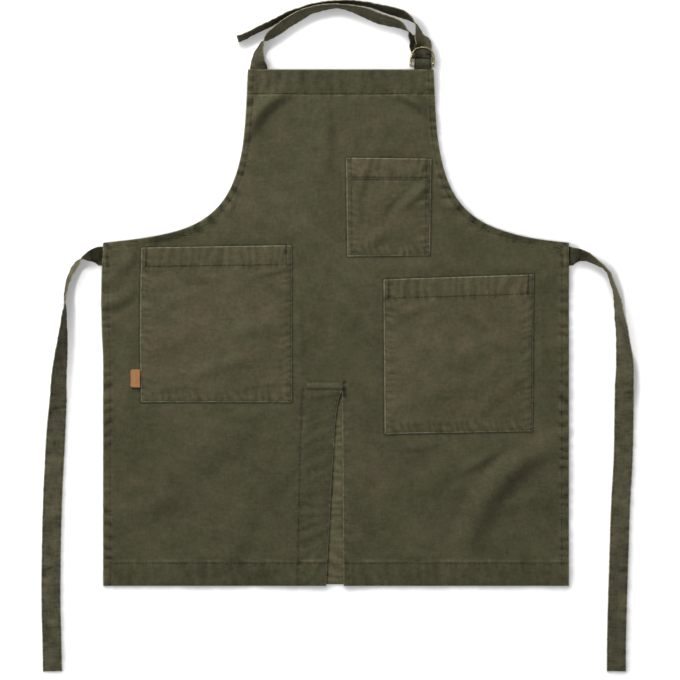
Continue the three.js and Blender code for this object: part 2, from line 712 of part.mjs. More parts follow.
addPiece('body_panel', closedSheet(grid.faces, bodyTop, bodyUnder), clothMaterial(0x504c3a));
addPiece('vent_underlap', underlapGeometry(), clothMaterial(0x605b44));
for (const pocket of pockets) {
  addPiece(pocket.name, pocketGeometry(pocket), clothMaterial(0x54503c));
}
addPiece('label_tab', tabGeometry(),
  new THREE.MeshStandardMaterial({ color: 0xc58b58, roughness: 0.6, metalness: 0 }));
addPiece('neck_strap', neckStrapGeometry(), clothMaterial(0x4d4a39));
addPiece('ring_loop', ringLoopGeometry(), clothMaterial(0x4d4a39));
addPiece('d_ring_upper', ringGeometry(upperBarRise, upperBarZ, upperArcZ, upperRingTurn), brassMaterial());
addPiece('d_ring_lower', ringGeometry(lowerBarRise, lowerBarZ, lowerArcZ, lowerRingTurn), brassMaterial());
addPiece('tie_left', tieGeometry(leftTieRoute, -1), clothMaterial(0x4d4a39));
addPiece('tie_right', tieGeometry(rightTieRoute, 1), clothMaterial(0x4d4a39));

// The origin is the middle of the apron's outline, on the surface that it lies on
const box = new THREE.Box3().setFromObject(apron);
const centre = box.getCenter(new THREE.Vector3());
apron.position.set(-centre.x, -centre.y, -box.min.z);

export default apron;
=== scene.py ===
"""Looks of a gardening apron of washed canvas that lies flat, face up.

Sizes are in millimetres about the middle of the waist line, +X across, +Y to the neck and +Z up. They turn
into metres in the row frame when a mesh is made.
"""
from __future__ import annotations

import logging
import math
from dataclasses import dataclass, field
from enum import Enum
from typing import ClassVar

import bpy
import numpy as np
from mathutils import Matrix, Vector


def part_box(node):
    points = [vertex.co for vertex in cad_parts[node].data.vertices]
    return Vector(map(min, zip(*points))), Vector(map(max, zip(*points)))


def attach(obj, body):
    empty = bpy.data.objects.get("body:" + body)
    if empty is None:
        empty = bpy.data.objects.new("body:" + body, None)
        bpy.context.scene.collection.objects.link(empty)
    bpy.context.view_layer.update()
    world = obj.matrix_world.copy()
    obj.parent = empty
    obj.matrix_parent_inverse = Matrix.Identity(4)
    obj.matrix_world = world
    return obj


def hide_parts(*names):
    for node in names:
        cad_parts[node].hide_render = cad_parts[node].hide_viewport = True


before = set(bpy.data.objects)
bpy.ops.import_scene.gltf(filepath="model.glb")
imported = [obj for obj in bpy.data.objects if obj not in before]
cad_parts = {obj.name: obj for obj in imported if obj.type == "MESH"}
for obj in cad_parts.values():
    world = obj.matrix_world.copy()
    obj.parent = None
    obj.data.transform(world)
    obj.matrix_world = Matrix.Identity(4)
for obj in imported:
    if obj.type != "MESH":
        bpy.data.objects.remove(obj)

Array = np.ndarray
Color = tuple[float, float, float]
Material = bpy.types.Material
Node = bpy.types.Node
Piece = bpy.types.Object
Rows = list[tuple[Array, Array]]
Socket = bpy.types.NodeSocket

MM = 0.001
LOG = logging.getLogger("apron")

# Pitches of the paths that distances are taken from, and insets of stitch rows, in millimetres.
PATH_PITCH = 5.0
POCKET_PITCH = 4.0
POCKET_INSET = 1.5
SECOND_ROW = 4.0
TAPE_INSET = 2.4


class Held(Enum):
    """How a piece of cloth lies."""

    LAID = "laid"
    FOLDED = "folded"


class Side(Enum):
    """The side of the apron that a piece belongs to, as the sign of X."""

    LEFT = -1
    RIGHT = 1


class Thread(Enum):
    """The sewing threads, with their radius in millimetres."""

    OLIVE = 0.26
    PALE = 0.36


@dataclass(frozen=True)
class Sizes:
    """The apron's named sizes in millimetres and its turns in degrees, as the part's source has them."""

    cloth: float = 1.2
    hem_layer: float = 0.8
    tape: float = 1.6
    strap_width: float = 29.0
    tie_width: float = 31.0
    seat: float = 0.3
    waist_width: float = 744.0
    skirt_drop: float = 548.0
    bib_rise: float = 277.0
    bib_top_width: float = 296.0
    bib_shift: float = 7.6
    bib_spread: float = 3.0
    armhole_rise: float = 212.0
    side_bow: float = 3.0
    bib_hem: float = 41.0
    skirt_hem: float = 38.0
    side_hem: float = 13.0
    armhole_hem: float = 10.0
    hem_step: float = 2.5
    vent_rise: float = 311.0
    vent_place: float = 10.0
    vent_flare: float = 26.0
    vent_lean: float = 2.4
    facing_width: float = 50.0
    underlap_width: float = 58.0
    underlap_seam: float = 14.0
    mouth_hem: float = 32.0
    tab_width: float = 16.0
    tab_length: float = 30.0
    tab_thickness: float = 1.8
    tab_radius: float = 3.5
    tab_place: float = 0.155
    neck_rise: float = 102.4
    strap_inset: float = 17.0
    closure_inset: float = 18.4
    sewn_length: float = 34.0
    tail_shift: float = 3.0
    wire_radius: float = 1.5
    ring_half_width: float = 18.5
    ring_depth: float = 24.5
    ring_roundness: float = 2.4
    ring_corner: float = 0.16
    upper_ring_turn: float = -10.0
    lower_ring_turn: float = -3.0
    lower_bar_rise: float = 4.6
    upper_bar_rise: float = 11.0
    fold_rise: float = 17.0
    loop_front: float = 16.4
    loop_width: float = 29.0
    loop_shift: float = 1.5
    tie_reach: float = 97.6
    tie_drop: float = 664.0
    tie_root: float = 21.0

    @property
    def half_waist(self) -> float:
        """Half the waist's width."""
        return self.waist_width / 2

    @property
    def tip(self) -> float:
        """The height of the vent's tip, below the waist line."""
        return self.vent_rise - self.skirt_drop

    @property
    def strap_x(self) -> float:
        """The middle of the strap where it leaves the bib."""
        return self.bib_shift - self.bib_top_width / 2 + self.strap_inset

    @property
    def closure_x(self) -> float:
        """The middle of the rings."""
        return self.bib_shift + self.bib_top_width / 2 - self.closure_inset

    @property
    def strap_span(self) -> float:
        """From the strap's sewn end to the rings."""
        return self.closure_x - self.tail_shift / 2 - self.strap_x

    @property
    def lower_bar(self) -> float:
        """The height of the lower ring's bar."""
        return self.cloth + self.seat + self.wire_radius

    @property
    def lower_arc(self) -> float:
        """The height of the lower ring's bow."""
        return self.tape + 2 * self.seat + self.wire_radius

    @property
    def upper_bar(self) -> float:
        """The height of the upper ring's bar."""
        return self.lower_arc + 2 * self.wire_radius + 2 * self.seat

    @property
    def tail_level(self) -> float:
        """The height of the tail's middle over the lower ring."""
        return self.lower_arc + self.wire_radius + self.seat + self.tape / 2

    @property
    def upper_arc(self) -> float:
        """The height of the upper ring's bow."""
        return self.tail_level + self.tape / 2 + 3 * self.seat + self.wire_radius


SIZES = Sizes()

# Soft folds of the body: a ridge through a, b and c. Places are shares of half the waist's width and of the
# skirt's drop; breadth and height are shares of the side hem.
FOLDS = np.array([
    # ax, ay, bx, by, cx, cy, breadth, height
    (0.90, -0.60, 0.66, -0.66, 0.57, -0.86, 2.1, 0.55),
    (-0.86, -0.75, -0.62, -0.63, -0.37, -0.53, 3.2, 0.40),
    (-0.46, -0.92, -0.41, -0.78, -0.26, -0.68, 2.6, 0.34),
    (0.36, -0.74, 0.44, -0.66, 0.62, -0.60, 2.2, 0.30),
    (-0.31, 0.43, -0.36, 0.38, -0.37, 0.30, 1.8, 0.34),
    (-0.06, 0.38, -0.10, 0.25, -0.04, 0.12, 2.8, 0.30),
    (0.30, 0.42, 0.38, 0.40, 0.43, 0.34, 1.6, 0.28),
    (-0.44, 0.10, -0.30, 0.07, -0.16, 0.03, 2.0, 0.26),
    (0.02, -0.08, 0.06, -0.20, 0.02, -0.34, 2.4, 0.28),
])

# Narrower creases of the body: from a through b to c in millimetres, breadth and height in millimetres.
# A height below nothing is a valley.
CREASES = np.array([
    # ax, ay, bx, by, cx, cy, breadth, height
    (350, -322, 238, -366, 208, -500, 33, 6.0),
    (14.4, -212, 14.4, -232, 14.0, -250, 4, -1.8),
    (-50, -243, -24, -247, 6, -236, 8, 2.4),
    (-66, -2, -58, -120, -56, -232, 7, 2.6),
    (-74, 242, -116, 228, -141, 180, 18, 9.4),
    (92, 240, 130, 232, 150, 208, 15, 8.4),
    (-313, -5, -330, -25, -352, -48, 17, 4.6),
    (-300, 8, -270, 16, -236, 22, 11, 3.2),
    (-376, -96, -348, -98, -318, -72, 15, 4.6),
    (-374, -118, -350, -116, -322, -98, 9, -2.0),
    (-160, 85, -168, 62, -176, 44, 11, 2.4),
    (-182, 60, -205, 34, -240, 12, 13, 2.2),
    (190, 66, 208, 44, 228, 30, 12, 2.4),
    (150, 62, 176, 20, 205, -8, 18, 2.6),
    (95, -327, 130, -333, 170, -316, 9, 2.0),
    (200, -366, 232, -350, 262, -328, 13, 3.0),
    (348, -304, 366, -306, 378, -298, 10, 2.2),
    (-240, -396, -290, -424, -352, -446, 28, 3.2),
    (-140, -362, -98, -420, -92, -460, 24, 2.8),
    (-24, 216, -10, 172, -20, 116, 17, 2.6),
    (60, 215, 82, 180, 64, 148, 14, 1.6),
    (120, -28, 150, -60, 162, -96, 10, 1.3),
    (-338, -150, -326, -210, -334, -262, 9, 1.5),
    (322, -60, 328, -150, 324, -230, 10, 1.6),
    (-196, -268, -150, -284, -112, -276, 12, 1.2),
    (-250, -505, -180, -498, -120, -508, 9, 1.2),
    (60, -500, 120, -494, 168, -506, 9, 1.0),
    (252, -430, 286, -418, 330, -402, 16, 1.8),
])

# The bar tack over the vent: its two ends across, and the heights of its two rows above the vent's tip.
TACK_LEFT, TACK_RIGHT, TACK_LOW, TACK_HIGH = -46.4, 14.4, 2.6, 10.3

# Painted highlight and shade at the bar tack, as lines: level, height above the vent's tip, breadth. Below
# nothing is painted shade.
TACK_LINES = ((2.9, TACK_HIGH, 1.4), (-0.7, TACK_LOW, 1.4), (-0.5, 15.5, 3.0))

# How far inside the hem's inner edge its row of stitches lies, and how far inside the vent's flaps.
ARM_ROW, SIDE_ROW, BIB_ROW, FOOT_ROW, FLAP_ROW = 1.6, 2.0, 2.2, 2.0, 2.6

# The pale stitches that close the vent's tip: heights of their feet above it.
TIP_STITCHES = (0.2, 7.6, 15.2)

# The box of stitches that holds each tie, and the upright lines of painted highlight and shade there:
# level, place across. Below nothing is painted shade.
ROOT_ROWS = (np.array([(-370.0, -6.5), (-364.5, -6.5), (-364.5, -35.5), (-370.0, -35.5)]),
             np.array([(369.0, -6.5), (361.0, -6.5), (361.0, -36.0), (370.0, -36.0)]))
ROOT_LINES = ((1.8, 366.4), (-1.5, 360.6), (2.0, -370.2), (-2.0, -366.2), (0.8, -364.2))

# Painted shadows at the vent's tip, across, and at the right tie's box, across and along.
TIP_DENT, ROOT_DENT = (11.5, 15.0), (359.0, 368.0, -38.5, -35.0)

# The seam of the vent's facing: heights, and places across.
FACING_LINE = np.array([(-SIZES.skirt_drop, -380.0, SIZES.tip + TACK_LOW), (-61.5, -58.5, -54.0)])

# Creases of the pockets: shares of width and depth from the lower left corner, breadth and height in
# millimetres.
POCKET_CREASES = {
    "pocket_left": np.array([
        (0.72, 0.80, 0.84, 0.83, 0.98, 0.87, 8, 1.1),
        (0.20, 0.82, 0.34, 0.78, 0.52, 0.80, 10, 0.7),
        (0.05, 0.30, 0.30, 0.42, 0.52, 0.60, 22, 0.9),
        (0.30, 0.16, 0.55, 0.26, 0.80, 0.30, 16, 0.9),
        (0.55, 0.42, 0.74, 0.50, 0.94, 0.48, 18, 0.8),
        (0.12, 0.60, 0.26, 0.68, 0.45, 0.70, 16, 0.7),
        (0.60, 0.06, 0.78, 0.14, 0.94, 0.12, 9, 0.7),
        (0.08, 0.06, 0.22, 0.12, 0.40, 0.10, 9, 0.6),
    ]),
    "pocket_right": np.array([
        (0.05, 0.72, 0.14, 0.80, 0.34, 0.84, 12, 0.9),
        (0.10, 0.22, 0.40, 0.32, 0.66, 0.30, 24, 0.8),
        (0.45, 0.44, 0.64, 0.58, 0.86, 0.60, 22, 0.9),
        (0.60, 0.12, 0.76, 0.26, 0.94, 0.38, 16, 0.8),
        (0.16, 0.52, 0.32, 0.58, 0.50, 0.54, 20, 0.6),
        (0.10, 0.06, 0.34, 0.10, 0.56, 0.07, 9, 0.6),
    ]),
    "pocket_chest": np.array([
        (0.12, 0.96, 0.22, 0.78, 0.10, 0.60, 12, 1.3),
        (0.06, 0.60, 0.18, 0.46, 0.08, 0.32, 13, 1.1),
        (0.62, 0.52, 0.82, 0.66, 0.95, 0.72, 13, 1.6),
        (0.40, 0.34, 0.56, 0.56, 0.78, 0.66, 12, -1.0),
        (0.44, 0.98, 0.52, 0.86, 0.47, 0.74, 7, 0.9),
        (0.16, 0.06, 0.30, 0.20, 0.56, 0.28, 16, 1.0),
        (0.70, 0.94, 0.76, 0.84, 0.72, 0.76, 7, 0.7),
    ]),
}

# Creases across the ties, as the body's. Their heights also paint shade into the valleys and light onto the
# ridges.
TIE_CREASES = {
    "tie_left": np.array([
        (-461, -275, -453, -264, -431, -260, 5.0, -0.9), (-466, -340, -458, -333, -445, -334, 5.0, -0.8),
        (-464, -312, -455, -318, -446, -311, 7.0, 0.6), (-470, -525, -458, -520, -446, -516, 4.5, -1.0),
        (-470, -540, -460, -536, -448, -532, 7.0, 0.7), (-452, -190, -444, -196, -436, -192, 7.0, 0.6),
        (-468, -430, -458, -424, -447, -430, 9.0, 0.5), (-466, -600, -458, -610, -450, -606, 9.0, 0.5),
    ]),
    "tie_right": np.array([
        (458, -240, 463, -243, 471, -239, 4.0, -1.0), (459, -226, 466, -222, 472, -226, 4.5, -0.7),
        (460, -262, 466, -258, 473, -262, 6.0, 0.7), (458, -330, 466, -336, 474, -331, 6.0, -0.7),
        (456, -420, 464, -412, 472, -416, 8.0, 0.6), (450, -520, 458, -526, 468, -520, 6.0, -0.8),
        (448, -600, 456, -592, 466, -598, 9.0, 0.6),
    ]),
}

# Painted light and shade along the tapes, as the crest's own measure, at millimetres along them.
TAPE_SHADES = {
    "tie_left": ((0, -1.4), (58, -1.4), (64, 1.3), (104, 1.3), (112, -0.5), (150, -0.3), (230, 0.1),
                 (760, 0.1)),
    "tie_right": ((0, -1.2), (56, -1.0), (72, 0.2), (92, 1.0), (140, 0.9), (210, 0.3), (760, 0.3)),
    "neck_strap": ((0, -0.3), (60, -0.2), (110, 0.5), (330, 0.1), (360, -1.9), (404, -1.9), (412, -0.2),
                   (420, 0.2), (760, 0.0)),
    "ring_loop": ((0, -0.5), (120, -0.5)),
}

# Neck strap from its sewn end to the rings: share of the span, share of the rise, turn in degrees.
NECK_ROUTE = np.array([
    (0.000, 0.00, 180), (-0.004, 0.11, 143), (-0.001, 0.23, 126), (0.009, 0.32, 113), (0.025, 0.42, 99),
    (0.046, 0.48, 77), (0.074, 0.54, 67), (0.114, 0.61, 61), (0.179, 0.73, 59), (0.253, 0.84, 61),
    (0.315, 0.91, 70), (0.389, 0.96, 75), (0.481, 0.985, 82), (0.568, 0.95, 74), (0.651, 0.886, 61),
    (0.747, 0.79, 57), (0.821, 0.74, 62), (0.872, 0.694, 71), (0.907, 0.623, 88), (0.930, 0.57, 99),
    (0.936, 0.52, 106), (0.957, 0.47, 130), (0.972, 0.42, 155), (0.982, 0.37, 170), (0.992, 0.33, 179),
    (1.000, 0.28, 180),
])

# The tail from the rings to its free end, with the height of its lower edge in thicknesses of tape.
TAIL_ROUTE = np.array([
    (1.000, 0.25, 0, SIZES.tail_level / SIZES.tape - 0.5),
    (1.000, 0.345, 0, SIZES.tail_level / SIZES.tape - 0.5),
    (1.002, 0.375, 8, 2.6), (1.002, 0.42, 25, 1.8), (0.988, 0.47, 45, 0.8), (0.978, 0.53, 58, 0),
    (0.971, 0.597, 70, 0), (0.962, 0.675, 80, 0), (0.942, 0.748, 91, 0), (0.907, 0.816, 105, 0),
    (0.867, 0.866, 114, 0), (0.787, 0.925, 109, 0), (0.698, 0.985, 102, 0), (0.599, 1.035, 99, 0),
    (0.500, 1.045, 99, 0), (0.407, 1.028, 98, 0), (0.321, 0.992, 98, 0), (0.244, 0.930, 98, 0),
    (0.190, 0.880, 102, 0), (0.127, 0.80, 103, 0), (0.037, 0.68, 104, 0), (-0.056, 0.566, 103, 0),
    (-0.105, 0.503, 105, 0), (-0.143, 0.472, 108, 0),
])

# Ties: out from the body's side as a share of the reach, down as a share of the drop, turn in degrees.
LEFT_TIE_ROUTE = np.array([
    (0.00, 0.000, 0), (0.04, 0.000, 0), (0.10, -0.001, -27), (0.185, 0.000, -54), (0.27, 0.003, -70),
    (0.34, 0.006, -90), (0.40, 0.015, -107), (0.475, 0.031, -110), (0.54, 0.049, -107),
    (0.584, 0.067, -103), (0.61, 0.088, -100), (0.623, 0.106, -95), (0.621, 0.120, -90),
    (0.628, 0.135, -83), (0.639, 0.151, -78), (0.65, 0.178, -71), (0.665, 0.207, -62),
    (0.697, 0.251, -48), (0.728, 0.299, -40), (0.738, 0.347, -32), (0.762, 0.395, -20),
    (0.784, 0.443, -10), (0.803, 0.492, 0), (0.828, 0.564, 0), (0.852, 0.684, 0), (0.861, 0.829, 0),
    (0.845, 0.925, 0), (0.836, 1.000, 0),
])

RIGHT_TIE_ROUTE = np.array([
    (0.00, 0.000, 0), (0.035, 0.000, 0), (0.085, -0.001, 34), (0.156, -0.002, 50), (0.27, 0.001, 62),
    (0.385, 0.009, 72), (0.489, 0.019, 80), (0.574, 0.028, 85), (0.648, 0.040, 86), (0.685, 0.054, 83),
    (0.73, 0.073, 81), (0.769, 0.090, 77), (0.795, 0.107, 72), (0.821, 0.138, 65), (0.866, 0.178, 55),
    (0.889, 0.211, 46), (0.918, 0.254, 29), (0.913, 0.314, 13), (0.910, 0.374, 0), (0.893, 0.495, 0),
    (0.852, 0.603, 0), (0.828, 0.712, 0), (0.803, 0.832, 0), (0.787, 0.928, 0), (0.784, 1.000, 0),
])


def rows_of(*columns: Array) -> Array:
    """Columns of numbers, set side by side along a new last axis."""
    return np.stack(columns, axis=-1)


def unit(vectors: Array) -> Array:
    """Vectors drawn out or in to the length one."""
    return vectors / np.maximum(np.linalg.norm(vectors, axis=-1, keepdims=True), 1e-9)


def read_along(run: Array, points: Array, places: Array) -> Array:
    """A path's columns at places along it, on straight lines between its points."""
    return rows_of(*(np.interp(places, run, column) for column in points.T))


def grid_faces(ids: Array) -> Array:
    """The four-sided faces of a grid of point numbers, each from a point on to the next row's."""
    return rows_of(ids[:-1, :-1], ids[1:, :-1], ids[1:, 1:], ids[:-1, 1:]).reshape(-1, 4)


def end_heavy(count: int, power: float = 1.18) -> Array:
    """Shares from 0 to 1 that lie closer towards both ends: a power of the way from the nearer end."""
    even = np.linspace(-1, 1, count + 1)
    return 0.5 + 0.5 * np.sign(even) * (1 - (1 - np.abs(even)) ** power)


def smooth(value: Array | float, low: float, high: float) -> Array:
    """The cubic step from 0 at low to 1 at high.

    Args:
        value: where it is read.
        low: where the step starts.
        high: where the step ends.

    Returns:
        3t^2 - 2t^3, where t is the share of the way from low to high, held between 0 and 1.
    """
    share = np.clip((np.asarray(value, float) - low) / (high - low), 0.0, 1.0)
    return share * share * (3.0 - 2.0 * share)


def plateau(x: Array, y: Array, left: float, right: float, low: float, high: float, fade: float) -> Array:
    """1 inside a box and 0 outside it.

    Args:
        x: places across.
        y: places along.
        left: the box's left side.
        right: its right side.
        low: its lower side.
        high: its upper side.
        fade: the distance over which the level falls outside the box.

    Returns:
        The product of the four sides' cubic steps.
    """
    across = smooth(x, left - fade, left) * (1 - smooth(x, right, right + fade))
    return across * smooth(y, low - fade, low) * (1 - smooth(y, high, high + fade))


class Waves:
    """Seeded gradient noise in the plane, between about -1 and 1."""

    def __init__(self, seed: int) -> None:
        """Fill the table of directions.

        Args:
            seed: the number that the table is drawn from.
        """
        rng = np.random.default_rng(seed)
        self.table = rng.permutation(256)
        angle = rng.uniform(0, 2 * math.pi, 256)
        self.slope = rows_of(np.cos(angle), np.sin(angle))

    def __call__(self, x: Array, y: Array) -> Array:
        """Read the noise, whose bumps are about one unit across.

        Args:
            x: places across.
            y: places along.

        Returns:
            At each place, the four corners' slopes times the way to the corner, blended by a fifth-degree
            step.
        """
        x, y = np.broadcast_arrays(np.asarray(x, float), np.asarray(y, float))
        cell_x, cell_y = np.floor(x).astype(int), np.floor(y).astype(int)
        share_x, share_y = x - cell_x, y - cell_y
        ease_x = share_x ** 3 * (share_x * (6 * share_x - 15) + 10)
        ease_y = share_y ** 3 * (share_y * (6 * share_y - 15) + 10)
        total = np.zeros_like(x)
        for corner_x in (0, 1):
            for corner_y in (0, 1):
                slot = self.table[(self.table[(cell_x + corner_x) % 256] + cell_y + corner_y) % 256]
                weight = (ease_x if corner_x else 1 - ease_x) * (ease_y if corner_y else 1 - ease_y)
                slope = self.slope[slot]
                total += weight * (slope[..., 0] * (share_x - corner_x)
                                   + slope[..., 1] * (share_y - corner_y))
        return 1.5 * total


def puckers(run: Array, gap: Array, pitch: float, waves: Waves, slant: float = 0.35) -> Array:
    """The small pleats that a shrunken thread pulls into a hem.

    Args:
        run: the way along the seam.
        gap: the distance from it.
        pitch: the usual distance from pleat to pleat.
        waves: the noise that makes them uneven.
        slant: how far a pleat moves along the seam for each unit across it.

    Returns:
        A sine along the seam whose phase wanders by a noise, times a slower noise, between -1 and 1.
    """
    phase = run / pitch + 0.9 * waves(run / (2.6 * pitch), gap / 60.0) + slant * gap / pitch
    uneven = 0.72 + 0.55 * waves(run / (3.4 * pitch) + 31.7, gap / 40.0 + 5.0)
    return np.sin(2 * math.pi * phase) * np.clip(uneven, 0.15, 1.2)


def pinched(pleats: Array) -> Array:
    """Pleats with broad crests and narrow valleys: one less twice the third power of the way down."""
    return 1 - 2 * np.clip((1 - pleats) / 2, 0.0, 1.0) ** 3


def line(distance: Array, breadth: float = 1.4) -> Array:
    """1 on a line and falling off beside it, as a bell curve of the distance over the breadth."""
    return np.exp(-(distance / breadth) ** 2)


def creased(x: Array, y: Array, creases: Array) -> Array:
    """The height that creases give.

    Args:
        x: places across.
        y: places along.
        creases: rows of three points of a bent line, breadth and height.

    Returns:
        The sum of the creases. Each is a rounded crest along the quadratic curve through its points: its
        height times the square of one less the squared share of its breadth, fading to its two ends.
    """
    total = np.zeros_like(x)
    shares = np.linspace(0.0, 1.0, 33)
    for ax, ay, bx, by, cx, cy, breadth, height in creases:
        reach = breadth * 1.05
        near = np.nonzero((x > min(ax, bx, cx) - reach) & (x < max(ax, bx, cx) + reach)
                          & (y > min(ay, by, cy) - reach) & (y < max(ay, by, cy) + reach))[0]
        if not near.size:
            continue
        line_x = (1 - shares) ** 2 * ax + 2 * shares * (1 - shares) * bx + shares ** 2 * cx
        line_y = (1 - shares) ** 2 * ay + 2 * shares * (1 - shares) * by + shares ** 2 * cy
        squared = (x[near, None] - line_x) ** 2 + (y[near, None] - line_y) ** 2
        crest = np.sin(math.pi * (0.1 + 0.8 * shares))
        fall = np.clip(1 - squared / breadth ** 2, 0.0, 1.0) ** 2
        total[near] += height * (crest * fall).max(axis=1)
    return total


def catmull_rom(points: Array, per_span: int) -> tuple[Array, Array]:
    """The centripetal curve through points.

    Args:
        points: the points, one row each.
        per_span: how many steps lie between two of them.

    Returns:
        The curve's points, and for each the number of the row it is at, with its share of the way on. In
        each span it is the cubic whose slopes come from the neighbours, weighted by the square roots of
        the distances.
    """
    padded = np.vstack([2 * points[0] - points[1], points, 2 * points[-1] - points[-2]])
    steps = np.maximum(np.linalg.norm(np.diff(padded, axis=0), axis=1) ** 0.5, 1e-4)[:, None]
    a, b, c, d = padded[:-3], padded[1:-2], padded[2:-1], padded[3:]
    before, here, after = steps[:-2], steps[1:-1], steps[2:]
    start = ((b - a) / before - (c - a) / (before + here) + (c - b) / here) * here
    stop = ((c - b) / here - (d - b) / (here + after) + (d - c) / after) * here
    share = (np.arange(per_span) / per_span)[None, :, None]
    b, c, start, stop = (item[:, None, :] for item in (b, c, start, stop))
    curve = (b + start * share + (3 * (c - b) - 2 * start - stop) * share ** 2
             + (2 * (b - c) + start + stop) * share ** 3)
    spans = len(points) - 1
    rows = np.arange(spans * per_span + 1) / per_span
    return np.vstack([curve.reshape(-1, points.shape[1]), points[-1]]), rows


def run_along(points: Array) -> Array:
    """The length of a path from its start to each of its points."""
    return np.concatenate([[0.0], np.cumsum(np.linalg.norm(np.diff(points, axis=0), axis=1))])


def evenly(points: Array, pitch: float) -> Array:
    """A path's points, set again at even distances.

    Args:
        points: the path.
        pitch: about how far apart the new points lie.

    Returns:
        Points along the same line, its two ends among them.
    """
    run = run_along(points)
    count = max(2, int(round(run[-1] / pitch)) + 1)
    places = np.linspace(0.0, run[-1], count)
    return read_along(run, points, places)


def snapped(values: Array, marks: Array) -> Array:
    """Values in order, of which the inner one nearest to each mark is moved onto it.

    Args:
        values: the values.
        marks: the marks.

    Returns:
        A copy with as many values.
    """
    values = values.copy()
    for mark in marks:
        values[1 + np.abs(values[1:-1] - mark).argmin()] = mark
    return values


def beside(path: Array, distance: float) -> Array:
    """A path in the plane moved to its left.

    Args:
        path: the path.
        distance: how far, and to the right where it is below nothing.

    Returns:
        Each point plus the distance times the unit vector at right angles to the path.
    """
    heading = unit(np.gradient(path, axis=0))
    return path + distance * rows_of(-heading[:, 1], heading[:, 0])


def nearest(places: Array, paths: list[Array], block: int = 1500) -> tuple[Array, Array]:
    """How far places in the plan lie from the nearest of some paths.

    Args:
        places: the places, one row each.
        paths: the paths, each a row of points.
        block: how many places are worked out at a time.

    Returns:
        The distance to the nearest stretch, and the length along the paths, laid end to end, of the foot
        of that distance.
    """
    starts = np.concatenate([path[:-1] for path in paths])
    ends = np.concatenate([path[1:] for path in paths])
    lengths = np.linalg.norm(ends - starts, axis=1)
    offsets = np.concatenate([[0.0], np.cumsum(lengths)])[:-1]
    units = (ends - starts) / np.maximum(lengths, 1e-9)[:, None]
    distance, run = np.empty(len(places)), np.empty(len(places))
    for first in range(0, len(places), block):
        now = slice(first, first + block)
        way = places[now][:, None, :] - starts[None]
        foot = np.clip((way * units[None]).sum(axis=2), 0.0, lengths[None])
        squared = ((way - foot[..., None] * units[None]) ** 2).sum(axis=2)
        best = squared.argmin(axis=1)
        row = np.arange(len(way))
        distance[now] = np.sqrt(squared[row, best])
        run[now] = offsets[best] + foot[row, best]
    return distance, run


@dataclass
class Surface:
    """A closed surface in millimetres, with what its finish reads at each of its points."""

    points: Array
    quads: Array
    cloth: Array
    seam: Array
    rim: Array
    crest: Array
    patch: Array | None = None
    tips: Array | None = None
    no_patch: ClassVar[float] = 60.0

    @staticmethod
    def closed_sheet(quads: Array, upper: Array, lower: Array, cloth: Array, seam: Array, rim: Array,
                     crest: Array, bulge: float = 0.3, patch: Array | None = None) -> Surface:
        """A sheet between two skins that share their faces.

        Args:
            quads: the upper skin's faces, counter-clockwise seen from above.
            upper: the upper skin's points.
            lower: the lower skin's points.
            cloth: the flat cloth's own coordinates.
            seam: the way along the nearest seam, and the distance from it.
            rim: the distance from the cloth's edge.
            crest: how far a point stands over its surroundings, from -1 to 1, with painted light and shade
                added to it;
                the finish lightens where it is high and darkens where it is low.
            bulge: how far the edge's middle stands out, as a share of its thickness.
            patch: the distance from the nearest patch that is sewn onto it, below nothing under it; the
                finish paints a shadow close to it.

        Returns:
            The two skins and a rounded wall between them at each free edge: its middle is the mean of the
            two edges, moved outwards by the bulge.
        """
        count = len(upper)
        edges = np.concatenate([quads[:, [corner, (corner + 1) % 4]] for corner in range(4)])
        code, back = edges[:, 0] * count + edges[:, 1], edges[:, 1] * count + edges[:, 0]
        free = edges[~np.isin(back, code)]
        way = upper[free[:, 1]] - upper[free[:, 0]]
        outward = np.zeros((count, 2))
        for end in (0, 1):
            np.add.at(outward, free[:, end], rows_of(way[:, 1], -way[:, 0]))
        outward = unit(outward)
        on_rim = np.unique(free)
        place = np.full(count, -1)
        place[on_rim] = 2 * count + np.arange(len(on_rim))
        middle = (upper[on_rim] + lower[on_rim]) / 2
        thickness = upper[on_rim, 2] - lower[on_rim, 2]
        middle[:, :2] += outward[on_rim] * (bulge * thickness)[:, None]
        a, b = free[:, 0], free[:, 1]
        faces = np.concatenate([quads, quads[:, ::-1] + count,
                                rows_of(b, a, place[a], place[b]),
                                rows_of(place[b], place[a], a + count, b + count)])
        of_all = np.concatenate([np.arange(count), np.arange(count), on_rim])
        return Surface(np.concatenate([upper, lower, middle]), faces, cloth[of_all], seam[of_all],
                       rim[of_all], crest[of_all], None if patch is None else patch[of_all])


@dataclass
class Placement:
    """The step from the drawing's frame to the row frame, found from the body panel's box."""

    shift: Array = field(default_factory=lambda: np.zeros(3))

    @staticmethod
    def of_body() -> Placement:
        """The placement that sets the drawn body in its solid's box.

        Returns:
            The shift from the drawn body's lower left corner to the solid's.
        """
        low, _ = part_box("body_panel")
        left = -(SIZES.half_waist + SIZES.side_bow)
        return Placement(np.array([low[0] - left * MM, low[1] + SIZES.skirt_drop * MM, 0.0]))

    def __call__(self, points: Array) -> Array:
        """Drawn points in metres in the row frame."""
        return points * MM + self.shift


PLACEMENT = Placement.of_body()


